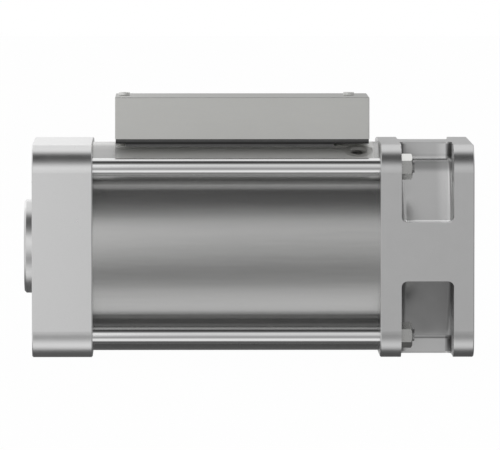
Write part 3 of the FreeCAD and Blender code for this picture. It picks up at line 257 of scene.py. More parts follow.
class SharedGroups:
    """The shader groups that several finishes use, each built once.

    The pairs are the places along an axis between which a share or a gain changes.
    """

    # The pocket places and gains below put painted light and painted shade into the screw pockets.
    POCKET_WALL = (-0.0428, -0.0425)
    POCKET_FLANGE = (-0.01195, -0.0118)
    POCKET_MOUTH = (0.056, 0.05)
    POCKET_EDGE = (0.0615, 0.0605)
    STRIP = (0.0512, 0.0525)
    STRIP_WALL = (-0.04, -0.0375)
    STRIP_FLANGE = (-0.0156, -0.0146)
    WALL_SHADE = (-0.0402, -0.0386)
    FOLD = ((0.0515, 0.05), (0.043, 0.0485))
    FOLD_GAIN = 0.58
    UPPER_LEVELS = (1.3, 1.05)
    UPPER_STEPS = (
        ("Z", 0.0513, 0.0517, 1.6),
        ("Z", 0.0524, 0.0528, 0.56),
        ("Z", 0.0545, 0.0555, 1.1),
        ("X", -0.022, -0.0155, 1.3),
        ("X", -0.015, -0.0142, 0.8),
        ("X", -0.0131, -0.0128, 1.2),
        ("Y", -0.01, 0.01, 0.55),
    )
    LOWER_SLOPE = (-0.018, -0.05)
    LOWER_LEVELS = (0.75, 0.86)
    LOWER_STEPS = (
        ("Z", -0.0508, -0.0515, 0.6),
        ("Z", -0.053, -0.0536, 2.1),
        ("X", -0.0123, -0.0121, 1.4),
    )
    # The box places and gains below put painted light and painted shade on the barrel's crest under
    # the switch box.
    BOX_FRONT = (-0.2095, -0.207)
    BOX_REAR = (-0.0605, -0.0565)
    BOX_SIDE = (0.0335, 0.031)
    CREST = (0.045, 0.048)
    SHADE = (0.0225, 0.0305)
    UNDER_RAILS = (0.016, 0.019)

    def __init__(self) -> None:
        """Build every group."""
        self.grain = self._grain()
        self.marks = self._marks()
        self.pockets = self._pockets()
        self.sheltered = self._sheltered()

    @staticmethod
    def _new(name: str, inputs: dict[str, tuple[str, object]], outputs: dict[str, str]) -> Graph:
        """Make an empty shader group.

        Args:
            name: The group's name.
            inputs: A socket type and a default for each input.
            outputs: A socket type for each output.

        Returns:
            A graph on the group's tree.
        """
        tree = bpy.data.node_groups.new(name, "ShaderNodeTree")
        for label, (kind, default) in inputs.items():
            socket = tree.interface.new_socket(label, in_out="INPUT", socket_type=kind)
            socket.default_value = default
        for label, kind in outputs.items():
            tree.interface.new_socket(label, in_out="OUTPUT", socket_type=kind)
        return Graph(tree)

    def _grain(self) -> bpy.types.NodeTree:
        """Build the fine grain of a worked surface, stretched along its direction."""
        graph = self._new(
            "surface_grain",
            {
                "Scale": ("NodeSocketFloat", 900.0),
                "Stretch": ("NodeSocketVector", (1.0, 1.0, 1.0)),
                "Detail": ("NodeSocketFloat", 4.0),
            },
            {"Fine": "NodeSocketFloat", "Broad": "NodeSocketFloat"},
        )
        given = graph.add("NodeGroupInput").outputs
        place = graph.add("ShaderNodeTexCoord").outputs["Object"]
        stretched = graph.vector("MULTIPLY", place, given["Stretch"])
        fine = graph.add(
            "ShaderNodeTexNoise",
            {"Vector": stretched, "Scale": given["Scale"], "Detail": given["Detail"]},
        )
        broad_scale = graph.number("DIVIDE", given["Scale"], 7.0)
        broad = graph.add(
            "ShaderNodeTexNoise", {"Vector": stretched, "Scale": broad_scale, "Detail": 2.0}
        )
        graph.add("NodeGroupOutput", {"Fine": fine.outputs[0], "Broad": broad.outputs[0]})
        return graph.tree

    def _marks(self) -> bpy.types.NodeTree:
        """Build the faint clouding that handling and cleaning leave."""
        graph = self._new(
            "handling_marks",
            {
                "Size": ("NodeSocketFloat", 14.0),
                "Amount": ("NodeSocketFloat", 0.1),
            },
            {"Mask": "NodeSocketFloat"},
        )
        given = graph.add("NodeGroupInput").outputs
        place = graph.add("ShaderNodeTexCoord").outputs["Object"]
        cloud = graph.add(
            "ShaderNodeTexNoise",
            {"Vector": place, "Scale": given["Size"], "Detail": 5.0, "Distortion": 0.6},
        )
        soft = graph.span(cloud.outputs[0], 0.35, 0.75, (0.0, 1.0))
        graph.add("NodeGroupOutput", {"Mask": graph.number("MULTIPLY", soft, given["Amount"])})
        return graph.tree


    def _steps(self, graph: Graph, parts: dict, steps: tuple) -> Socket:
        """Multiply the gains of several steps along the axes.

        Args:
            graph: The group's graph.
            parts: The sockets with the three parts of a place.
            steps: For each step its axis, where it starts and ends, and the gain past it.

        Returns:
            The socket with the gain.
        """
        gains = [graph.span(parts[axis], low, high, (1.0, to)) for axis, low, high, to in steps]
        return graph.product(*gains)

    def _pockets(self) -> bpy.types.NodeTree:
        """Build the gain of the colour in the screw pockets: painted light in the upper pockets,
        painted shade in the lower ones, along the walls and in the corners and folds.
        """
        graph = self._new("pocket_grime", {}, {"Gain": "NodeSocketFloat"})
        parts = graph.parts()
        along = parts["X"]
        height = graph.number("ABSOLUTE", parts["Z"])
        inside = graph.product(
            graph.span(along, *self.POCKET_WALL, (0.0, 1.0)),
            graph.span(along, *self.POCKET_FLANGE, (1.0, 0.0)),
            graph.span(graph.number("ABSOLUTE", parts["Y"]), *self.POCKET_MOUTH, (0.0, 1.0)),
            graph.span(height, *self.POCKET_EDGE, (0.0, 1.0)),
        )
        # Upper pockets: painted light on the slope, painted shade in the fold, and lines of painted
        # light and shade at the steps.
        strip = graph.span(height, *self.STRIP, (0.0, 1.0))
        fold = graph.product(*(graph.span(parts["Z"], *side, (0.0, 1.0)) for side in self.FOLD))
        upper = graph.product(
            graph.span(strip, 0.0, 1.0, self.UPPER_LEVELS),
            graph.span(fold, 0.0, 1.0, (1.0, self.FOLD_GAIN)),
            self._steps(graph, parts, self.UPPER_STEPS),
        )
        # Lower pockets: painted shade, with lighter and darker lines at the steps.
        lower = graph.product(
            graph.span(parts["Z"], *self.LOWER_SLOPE, self.LOWER_LEVELS),
            self._steps(graph, parts, self.LOWER_STEPS),
        )
        level = graph.mix(graph.span(parts["Z"], -0.01, 0.01, (0.0, 1.0)), lower, upper)
        # Painted shade along the side walls and in the corners of the strip.
        side = graph.span(along, *self.WALL_SHADE, (0.6, 1.0))
        corners = graph.product(
            graph.span(along, *self.STRIP_WALL, (0.6, 1.0)),
            graph.span(along, *self.STRIP_FLANGE, (1.0, 0.4)),
        )
        corners = graph.mix(strip, 1.0, corners)
        gain = graph.mix(inside, 1.0, graph.product(level, side, corners))
        graph.add("NodeGroupOutput", {"Gain": gain})
        return graph.tree

    def _sheltered(self) -> bpy.types.NodeTree:
        """Build the mask of the barrel's crest under the switch box, and the gain of the painted
        light and shade there.
        """
        graph = self._new(
            "under_the_box", {}, {"Mask": "NodeSocketFloat", "Gain": "NodeSocketFloat"}
        )
        parts = graph.parts()
        aside = graph.number("ABSOLUTE", parts["Y"])
        mask = graph.product(
            graph.span(parts["X"], *self.BOX_FRONT, (0.0, 1.0)),
            graph.span(parts["X"], *self.BOX_REAR, (1.0, 0.0)),
            graph.span(aside, *self.BOX_SIDE, (0.0, 1.0)),
            graph.span(parts["Z"], *self.CREST, (0.0, 1.0)),
        )
        # The gain paints a band of shade beside the rails, lighter right under the rails and
        # towards the box's side.
        gain = graph.number(
            "ADD",
            graph.span(aside, *self.SHADE, (0.62, 1.05)),
            graph.span(aside, *self.UNDER_RAILS, (0.6, 0.0)),
        )
        graph.add("NodeGroupOutput", {"Mask": mask, "Gain": gain})
        return graph.tree


groups = SharedGroups()


@dataclass(frozen=True)
class Finish:
    """One surface finish.

    Attributes:
        name: The material's name.
        colour: Plain base colour.
        roughness: Lowest and highest roughness of the grain.
        metallic: 1 for bare metal, 0 for rubber and plastic.
        scale: Grain per metre.
        stretch: How much the grain is stretched, small numbers along the working direction.
        shade: Share by which the grain darkens the colour.
        depth: Height of the grain in metres.
        marks: Share of clouding from handling.
        coat: Weight of an oil film.
        facing: Gains of the colour by the lift of the surface's normal, from -1 below to 1 above.
    """

    name: str
    colour: tuple[float, float, float]
    roughness: tuple[float, float]
    metallic: float = 1.0
    scale: float = 900.0
    stretch: tuple[float, float, float] = (1.0, 1.0, 1.0)
    shade: float = 0.06
    depth: float = 0.01 * MM
    marks: float = 0.05
    coat: float = 0.0
    # These gains are painted light and shade: faces that look up or down get a lighter or darker
    # colour.
    facing: tuple[tuple[float, float], ...] = ()

    def material(self) -> Material:
        """Return the finish's material, built at its first use."""
        made = bpy.data.materials.get(self.name)
        if made:
            return made
        made = bpy.data.materials.new(self.name)
        graph = Graph.of(made)
        grain = graph.add("ShaderNodeGroup", {}, node_tree=groups.grain)
        grain.inputs["Scale"].default_value = self.scale
        grain.inputs["Stretch"].default_value = self.stretch
        marks = graph.add("ShaderNodeGroup", {}, node_tree=groups.marks)
        marks.inputs["Amount"].default_value = self.marks
        both = graph.number("ADD", grain.outputs["Fine"], grain.outputs["Broad"])
        mean = graph.number("MULTIPLY", both, 0.5)
        rough = graph.span(mean, 0.3, 0.7, self.roughness)
        rough = graph.number("ADD", rough, marks.outputs["Mask"])
        darker = tuple(part * (1 - self.shade) for part in self.colour)
        light = graph.span(mean, 0.35, 0.65, (0.0, 1.0))
        colour = graph.tint(light, (*darker, 1.0), (*self.colour, 1.0))
        look = {"Base Color": colour, "Roughness": rough, "Metallic": self.metallic}
        look.update(self.altered(graph, look))
        bump = graph.add(
            "ShaderNodeBump",
            {"Height": grain.outputs["Fine"], "Distance": self.depth, "Strength": 1.0},
        )
        surface = graph.add(
            "ShaderNodeBsdfPrincipled",
            {
                **look,
                "Coat Weight": self.coat,
                "Coat Roughness": OIL_ROUGHNESS,
                "Normal": bump.outputs[0],
            },
        )
        graph.add("ShaderNodeOutputMaterial", {"Surface": surface.outputs[0]})
        return made

    def altered(self, graph: Graph, look: dict[str, object]) -> dict[str, object]:
        """Work out what differs from place to place.

        Args:
            graph: The material's graph.
            look: The base colour, roughness and metallic share, as values or sockets.

        Returns:
            Those of the look that change.
        """
        if not self.facing:
            return {}
        # Painted light and shade by the lift of the surface's normal.
        lift = graph.parts("Normal")["Z"]
        share = graph.number("MULTIPLY", graph.number("ADD", lift, 1.0), 0.5)
        stops = [((place + 1) / 2, gain) for place, gain in self.facing]
        return graph.gained(look, graph.ramp(share, stops, "LINEAR"))


@dataclass(frozen=True)
class PocketFinish(Finish):
    """A finish with painted light and painted shade in the screw pockets."""

    def altered(self, graph: Graph, look: dict[str, object]) -> dict[str, object]:
        """Paint light and shade into the colour inside the pockets."""
        look = {**look, **super().altered(graph, look)}
        pockets = graph.add("ShaderNodeGroup", {}, node_tree=groups.pockets)
        return graph.gained(look, pockets.outputs["Gain"])


@dataclass(frozen=True)
class SeamFinish(Finish):
    """A dark finish with painted shade and light by height at the seam under the box.

    Attributes:
        line: Heights between which the gain changes.
        gains: Gains below and above the line.
    """

    line: tuple[float, float] = (0.0625, 0.0629)
    gains: tuple[float, float] = (0.3, 1.6)

    def altered(self, graph: Graph, look: dict[str, object]) -> dict[str, object]:
        """Paint shade and light into the colour by its height."""
        look = {**look, **super().altered(graph, look)}
        return graph.gained(look, graph.span(graph.parts()["Z"], *self.line, self.gains))


@dataclass(frozen=True)
class ThreadedFinish(Finish):
    """A bright rod whose threaded end is duller.

    Attributes:
        start: Where along X the thread starts.
        dull: Colour of the thread.
        matt: Roughness of the thread.
    """

    start: float = -0.0543
    dull: tuple[float, float, float] = (0.3, 0.3, 0.3)
    matt: float = 0.45

    def altered(self, graph: Graph, look: dict[str, object]) -> dict[str, object]:
        """Blend to the thread's look past its start."""
        look = {**look, **super().altered(graph, look)}
        mask = graph.span(graph.parts()["X"], self.start, self.start + 0.1 * MM, (0.0, 1.0))
        return graph.blend(mask, look, self.dull, self.matt)


@dataclass(frozen=True)
class ShelteredFinish(Finish):
    """A bright finish with painted light on the barrel under the switch box, where it is also matt.

    Attributes:
        matt: Roughness under the box.
        pale: Colour under the box, painted light in the box's shade.
        bare: Metallic share under the box.
    """

    matt: float = 0.5
    pale: tuple[float, float, float] = (0.9, 0.9, 0.88)
    bare: float = 0.3

    def altered(self, graph: Graph, look: dict[str, object]) -> dict[str, object]:
        """Blend to the matt look with painted light under the box."""
        made = graph.add("ShaderNodeGroup", {}, node_tree=groups.sheltered).outputs
        # Painted light: the pale colour, times the group's gain, lightens the box's shade on the
        # barrel.
        pale = graph.vector("MULTIPLY", self.pale, made["Gain"])
        look = {**look, **graph.blend(made["Mask"], look, pale, self.matt)}
        look["Metallic"] = graph.span(made["Mask"], 0.0, 1.0, (self.metallic, self.bare))
        return look


LENGTHWISE = (0.03, 1.0, 1.0)
ACROSS_BOX = (0.25, 1.0, 1.0)

FRONT_CAP = Finish(
    "front_cap_satin",
    (0.71, 0.71, 0.71),
    (0.27, 0.31),
    shade=0.02,
    marks=0.02,
)
# The two caps are one metal in two greys: the flange cap's darker grey is painted shade, as the
# light falls off towards that end; its pockets also get painted light and shade.
FLANGE_CAP = PocketFinish(
    "flange_cap_satin",
    (0.6, 0.6, 0.6),
    (0.28, 0.33),
    shade=0.02,
    marks=0.02,
)
# The barrel gets painted light and shade on its crest under the switch box.
BARREL = ShelteredFinish(
    "barrel_drawn",
    (0.47, 0.47, 0.465),
    (0.2, 0.25),
    metallic=0.85,
    scale=1500.0,
    stretch=LENGTHWISE,
    shade=0.05,
    depth=0.0012 * MM,
    marks=0.02,
)
ROD = ThreadedFinish(
    "rod_ground",
    (0.78, 0.78, 0.78),
    (0.1, 0.14),
    stretch=LENGTHWISE,
    shade=0.04,
)
HEXAGON = Finish(
    "nut_zinc",
    (0.48, 0.48, 0.47),
    (0.24, 0.34),
    scale=1400.0,
    shade=0.06,
    # Painted light on the nuts: faces that look up get a much lighter colour, faces that look down
    # a lighter one.
    facing=((-0.7, 1.25), (-0.3, 1.0), (0.2, 1.0), (0.8, 1.65)),
)
PORT = Finish("port_matt", (0.62, 0.62, 0.6), (0.45, 0.55), metallic=0.4, scale=1400.0, shade=0.08)
NUT = Finish("nut_plated", (0.66, 0.66, 0.65), (0.24, 0.34), scale=1400.0, shade=0.08)
SCREW = Finish("screw_plated", (0.6, 0.6, 0.59), (0.25, 0.36), scale=1600.0, shade=0.08)
COVER_SCREW = Finish("cover_screw_satin", (0.92, 0.92, 0.9), (0.4, 0.5), scale=1600.0, shade=0.03)
THREAD = Finish("thread_oiled", (0.42, 0.42, 0.42), (0.28, 0.4), scale=1600.0, shade=0.2)
BOX = Finish(
    "box_blasted",
    (0.66, 0.66, 0.64),
    (0.4, 0.46),
    scale=1800.0,
    stretch=ACROSS_BOX,
    shade=0.03,
    depth=0.006 * MM,
    # Painted shade: faces of the cover that look up get a darker colour.
    facing=((-1.0, 1.0), (0.2, 1.0), (0.8, 0.7)),
)
BASE = Finish("base_cast", (0.74, 0.74, 0.72), (0.5, 0.6), metallic=0.0, scale=1500.0, shade=0.05)
SHEET = Finish("sheet_pickled", (0.5, 0.5, 0.49), (0.35, 0.45), scale=1500.0, shade=0.06)
HARD = Finish("steel_hardened", (0.4, 0.4, 0.41), (0.22, 0.34), scale=1200.0, shade=0.12)
SPRING = Finish("spring_oiled", (0.3, 0.31, 0.33), (0.25, 0.38), scale=1500.0, coat=0.3)
BRONZE = Finish("bronze_sintered", (0.58, 0.42, 0.22), (0.32, 0.48), scale=2600.0, shade=0.2)
# The gasket's black stands in for the shade of the seam under the box; its gains paint a darker
# shadow line at its foot and light above it.
SEAM = SeamFinish(
    "seam_rubber", (0.07, 0.07, 0.07), (0.5, 0.6), metallic=0.0, scale=1500.0, shade=0.2
)
# The rails' gains paint shade on their upper part, next to the base.
RAIL = SeamFinish(
    "rail_blackened",
    (0.22, 0.22, 0.22),
    (0.35, 0.45),
    scale=1500.0,
    shade=0.06,
    line=(0.0607, 0.0603),
    gains=(0.25, 1.0),
)
RUBBER = Finish(
    "rubber_moulded", (0.03, 0.03, 0.032), (0.5, 0.65), metallic=0.0, scale=1500.0, shade=0.3
)
PLASTIC = Finish(
    "plastic_filled", (0.5, 0.46, 0.38), (0.4, 0.55), metallic=0.0, scale=1500.0, shade=0.12
)
BLACK = Finish(
    "plastic_black", (0.04, 0.04, 0.045), (0.35, 0.5), metallic=0.0, scale=1200.0, shade=0.2
)


def dress(finish: Finish, *nodes: str) -> None:
    """Give solids of the frame a finish.

    Args:
        finish: The finish.
        nodes: Names of the solids.
    """
    for name in nodes:
        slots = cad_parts[name].data.materials
        slots.clear()
        slots.append(finish.material())
        log.info("dressed %s in %s", name, finish.name)


class GrowthTree(Graph):
    """A Geometry Nodes tree with named inputs, which makes one kind of piece."""

    def __init__(self, name: str, **inputs: float) -> None:
        """Make the tree and its sockets.

        Args:
            name: The tree's name.
            inputs: A default for each named input.
        """
        super().__init__(bpy.data.node_groups.new(name, "GeometryNodeTree"))
        sockets = self.tree.interface
        for label, default in inputs.items():
            made = sockets.new_socket(label, in_out="INPUT", socket_type="NodeSocketFloat")
            made.default_value = default
        sockets.new_socket("Finish", in_out="INPUT", socket_type="NodeSocketMaterial")
        sockets.new_socket("Geometry", in_out="OUTPUT", socket_type="NodeSocketGeometry")
        self.given = self.add("NodeGroupInput").outputs

    def join(self, *parts: Socket) -> Socket:
        """Join several geometries and return the socket with them."""
        node = self.add("GeometryNodeJoinGeometry")
        for part in parts:
            self.tree.links.new(part, node.inputs[0])
        return node.outputs[0]

    def moved(self, geometry: Socket, **how: object) -> Socket:
        """Move, turn or scale a geometry.

        Args:
            geometry: The socket with it.
            how: Translation, Rotation or Scale, as a value or a socket.

        Returns:
            The socket with the moved geometry.
        """
        node = self.add("GeometryNodeTransform", {"Geometry": geometry, **how})
        return node.outputs[0]

    def shifted(self, geometry: Socket, along: object) -> Socket:
        """Move a geometry along X and return the socket with it."""
        return self.moved(geometry, Translation=self.joined(along, 0.0, 0.0))

    def boolean(self, operation: str, first: Socket, second: Socket) -> Socket:
        """Cut one mesh from another or keep what they share.

        Args:
            operation: DIFFERENCE or INTERSECT.
            first: The mesh that is kept.
            second: The mesh that cuts.

        Returns:
            The socket with the result.
        """
        node = self.add("GeometryNodeMeshBoolean", operation=operation, solver="EXACT")
        if operation == "DIFFERENCE":
            self.tree.links.new(first, node.inputs[0])
        else:
            self.tree.links.new(first, node.inputs[1])
        self.tree.links.new(second, node.inputs[1])
        return node.outputs[0]

    def drum(self, radius: object, depth: object, sides: int = 64, **how: object) -> Socket:
        """Make a closed drum along X that starts at X = 0.

        Args:
            radius: Its radius.
            depth: Its length.
            sides: How many sides it has.
            how: A further move.

        Returns:
            The socket with the mesh.
        """
        inputs = {"Vertices": sides, "Radius": radius, "Depth": depth}
        mesh = self.add("GeometryNodeMeshCylinder", inputs).outputs[0]
        half = self.number("MULTIPLY", depth, 0.5)
        turned = self.moved(mesh, Rotation=Z_ONTO_X)
        turned = self.shifted(turned, half)
        return self.moved(turned, **how) if how else turned

    def helix(
        self, radius: object, length: object, turns: object, wire: object, sides: int, steps: int
    ) -> Socket:
        """Make a coil along X that starts at X = 0.

        Args:
            radius: Radius of the wire's centre line.
            length: Length of the coil along X.
            turns: How many turns it has.
            wire: Radius of the wire.
            sides: Sides of the wire's section.
            steps: Steps in one turn.

        Returns:
            The socket with the mesh.
        """
        line = self.add(
            "GeometryNodeCurveSpiral",
            {
                "Resolution": steps,
                "Rotations": turns,
                "Start Radius": radius,
                "End Radius": radius,
                "Height": length,
            },
        ).outputs[0]
        line = self.add("GeometryNodeSetCurveNormal", {"Curve": line}, mode="Z_UP").outputs[0]
        section = self.add(
            "GeometryNodeCurvePrimitiveCircle", {"Resolution": sides, "Radius": wire}
        ).outputs[0]
        coil = self.add(
            "GeometryNodeCurveToMesh",
            {"Curve": line, "Profile Curve": section, "Fill Caps": True},
        ).outputs[0]
        return self.moved(coil, Rotation=Z_ONTO_X)

    def at_corners(self, geometry: Socket, spacing: object) -> Socket:
        """Repeat a geometry at the four corners of a square about X.

        Args:
            geometry: What is repeated.
            spacing: Side of the square.

        Returns:
            The socket with the copies.
        """
        grid = self.add(
            "GeometryNodeMeshGrid",
            {"Size X": spacing, "Size Y": spacing, "Vertices X": 2, "Vertices Y": 2},
        ).outputs[0]
        grid = self.moved(grid, Rotation=Z_ONTO_X)
        return self.on_points(grid, geometry)

    def on_points(self, points: Socket, geometry: Socket) -> Socket:
        """Put a copy of a geometry on every point."""
        node = self.add("GeometryNodeInstanceOnPoints", {"Points": points, "Instance": geometry})
        return node.outputs[0]

    def close(self, geometry: Socket, crease: float = math.radians(32)) -> None:
        """End the tree with real meshes, smooth but for their creases, in the finish.

        Args:
            geometry: What the tree has made.
            crease: Angle from which an edge stays sharp.
        """
        real = self.add("GeometryNodeRealizeInstances", {"Geometry": geometry}).outputs[0]
        smooth = self.add("GeometryNodeSetShadeSmooth", {"Geometry": real}).outputs[0]
        angle = self.add("GeometryNodeInputMeshEdgeAngle").outputs[0]
        sharp = self.number("GREATER_THAN", angle, crease)
        smooth = self.add(
            "GeometryNodeSetShadeSmooth",
            {"Geometry": smooth, "Selection": sharp, "Shade Smooth": False},
            domain="EDGE",
        ).outputs[0]
        coated = self.add(
            "GeometryNodeSetMaterial", {"Geometry": smooth, "Material": self.given["Finish"]}
        ).outputs[0]
        self.add("NodeGroupOutput", {"Geometry": coated})

    def grow(self, name: str, finish: Finish, slot: Slot, **values: object) -> Object:
        """Run the tree once and keep its mesh.

        Args:
            name: The piece's name.
            finish: The piece's finish.
            slot: The record's slot that the finish belongs to; not used.
            values: The tree's named inputs.

        Returns:
            The finished piece, not yet on a body.
        """
        piece = placed(name, bpy.data.meshes.new(name))
        modifier = piece.modifiers.new("growth", "NODES")
        modifier.node_group = self.tree
        values["Finish"] = finish.material()
        for item in self.tree.interface.items_tree:
            if item.item_type == "SOCKET" and item.in_out == "INPUT" and item.name in values:
                modifier[item.identifier] = values[item.name]
        graph = bpy.context.evaluated_depsgraph_get()
        mesh = bpy.data.meshes.new_from_object(piece.evaluated_get(graph), depsgraph=graph)
        piece.modifiers.remove(modifier)
        piece.data = mesh
        mesh.name = name
        log.info("grew %s: %d faces", name, len(mesh.polygons))
        return piece


def ease_edges(piece: Object, width: float) -> None:
    """Round the sharp edges of a piece a little.

    Args:
        piece: The piece.
        width: Width of the rounding.
    """
    bevel = piece.modifiers.new("eased_edges", "BEVEL")
    bevel.width = width
    bevel.segments = 2
    bevel.limit_method = "ANGLE"
    bevel.angle_limit = math.radians(40)
    bevel.use_clamp_overlap = True


@dataclass
class EndCaps:
    """The front cap and the flange cap, with the threads in the front cap's face."""

    spacing: float = 89 * MM
    thread_core: float = 4.25 * MM
    thread_depth: float = 13.5 * MM
    thread_inset: float = 3 * MM
    pitch: float = 1.5 * MM
    ridge: float = 0.42
    ridge_foot: float = 0.45

    def build(self) -> None:
        """Dress both caps and cut the threads."""
        dress(FRONT_CAP, "front_cap")
        dress(FLANGE_CAP, "flange_cap")
        self.threads()

    def threads(self) -> None:
        """Grow the ridges of the four threads in the front face."""
        tree = GrowthTree(
            "inner_threads",
            Start=0.0,
            Spacing=self.spacing,
            Core=self.thread_core,
            Length=self.thread_depth,
            Pitch=self.pitch,
        )
        given = tree.given
        turns = tree.number("DIVIDE", given["Length"], given["Pitch"])
        ridge = tree.number("MULTIPLY", given["Pitch"], self.ridge)
        foot = tree.number("MULTIPLY", ridge, self.ridge_foot)
        radius = tree.number("ADD", given["Core"], foot)
        coil = tree.helix(radius, given["Length"], turns, ridge, 3, 40)
        coil = tree.shifted(coil, given["Start"])
        tree.close(tree.at_corners(coil, given["Spacing"]))
        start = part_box("front_wiper")[0].x + self.thread_inset
        piece = tree.grow("front_face_threads", THREAD, Slot.CAP, Start=start)
        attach(piece, HOUSING)


@dataclass
class Barrel:
    """The barrel with its seals."""

    def build(self) -> None:
        """Dress the barrel and the seals at its ends."""
        dress(BARREL, "barrel")
        dress(RUBBER, "barrel_seals")


@dataclass
class TieRods:
    """Four tie rods with threaded ends, and their nuts on the tie wall.

    The ridge, its foot, the run-out and the core are shares of the pitch, the turned corner is
    one of the flats, and the slope is what the cone grows by along the nut's height.
    """

    diameter: float = 10 * MM
    thread: float = 8 * MM
    pitch: float = 1.25 * MM
    flats: float = 13 * MM
    wall_face: float = -54.4 * MM
    ridge: float = 0.5
    ridge_foot: float = 0.3
    run_out: float = 1.1
    core: float = 0.45
    turned_corner: float = 0.485
    slope: float = 1.73

    def build(self) -> None:
        """Grow the rods and the nuts."""
        self.spacing = 2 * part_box("tie_rods")[1].y - self.diameter
        self.rods()
        self.nuts()

    def rods(self) -> None:
        """Grow the rods with the ridges of their threads."""
        low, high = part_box("tie_rods")
        tree = GrowthTree(
            "threaded_rods",
            Start=0.0,
            Shank=0.1,
            Length=0.1,
            Radius=0.005,
            Core=0.0034,
            Pitch=0.00125,
            Spacing=0.1,
        )
        given = tree.given
        shank = tree.drum(given["Radius"], given["Shank"], 96)
        core = tree.drum(given["Core"], given["Length"], 48)
        left = tree.number("SUBTRACT", given["Length"], given["Shank"])
        ridge = tree.number("MULTIPLY", given["Pitch"], self.ridge)
        run_out = tree.number("MULTIPLY", given["Pitch"], self.run_out)
        inside = tree.number("SUBTRACT", left, run_out)
        turns = tree.number("DIVIDE", inside, given["Pitch"])
        foot = tree.number("MULTIPLY", ridge, self.ridge_foot)
        radius = tree.number("ADD", given["Core"], foot)
        coil = tree.helix(radius, inside, turns, ridge, 6, 36)
        coil = tree.shifted(coil, given["Shank"])
        rod = tree.join(shank, core, coil)
        rod = tree.shifted(rod, given["Start"])
        tree.close(tree.at_corners(rod, given["Spacing"]))
        piece = tree.grow(
            "tie_rod_set",
            ROD,
            Slot.ROD,
            Start=low.x,
            Shank=self.wall_face - low.x,
            Length=high.x - low.x,
            Radius=self.diameter / 2,
            Core=self.thread / 2 - self.core * self.pitch,
            Pitch=self.pitch,
            Spacing=self.spacing,
        )
        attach(piece, HOUSING)
        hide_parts("tie_rods")

    def nuts(self) -> None:
        """Grow the hexagon nuts, with their corners turned off at the outer end."""
        low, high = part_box("tie_rod_nuts")
        tree = GrowthTree(
            "hexagon_nuts",
            Start=0.0,
            Height=0.0065,
            Flats=0.013,
            Hole=0.004,
            Spacing=0.1,
        )
        given = tree.given
        corner = tree.number("DIVIDE", given["Flats"], math.sqrt(3))
        prism = tree.drum(corner, given["Height"], 6)
        narrow = tree.number("MULTIPLY", given["Flats"], self.turned_corner)
        wide = tree.number("ADD", narrow, tree.number("MULTIPLY", given["Height"], self.slope))
        cone = tree.add(
            "GeometryNodeMeshCone",
            {
                "Vertices": 96,
                "Radius Top": narrow,
                "Radius Bottom": wide,
                "Depth": given["Height"],
            },
        ).outputs[0]
        cone = tree.moved(cone, Rotation=Z_ONTO_X)
        nut = tree.boolean("INTERSECT", prism, cone)
        long = tree.number("MULTIPLY", given["Height"], 3.0)
        bore = tree.drum(given["Hole"], long, 48)
        back = tree.number("MULTIPLY", given["Height"], -1.0)
        bore = tree.shifted(bore, back)
        nut = tree.boolean("DIFFERENCE", nut, bore)
        nut = tree.shifted(nut, given["Start"])
        tree.close(tree.at_corners(nut, given["Spacing"]))
        piece = tree.grow(
            "tie_rod_nut_set",
            HEXAGON,
            Slot.NUT,
            Start=low.x,
            Height=high.x - low.x,
            Flats=self.flats,
            Hole=self.thread / 2,
            Spacing=self.spacing,
        )
        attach(piece, HOUSING)
        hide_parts("tie_rod_nuts")


@dataclass
class RodGuides:
    """Bush, wiper and retaining ring in each cap."""

    def build(self) -> None:
        """Dress both ends alike."""
        for side in ("front", "rear"):
            dress(BRONZE, f"{side}_bush")
            dress(RUBBER, f"{side}_wiper")
            dress(SPRING, f"{side}_retaining_ring")


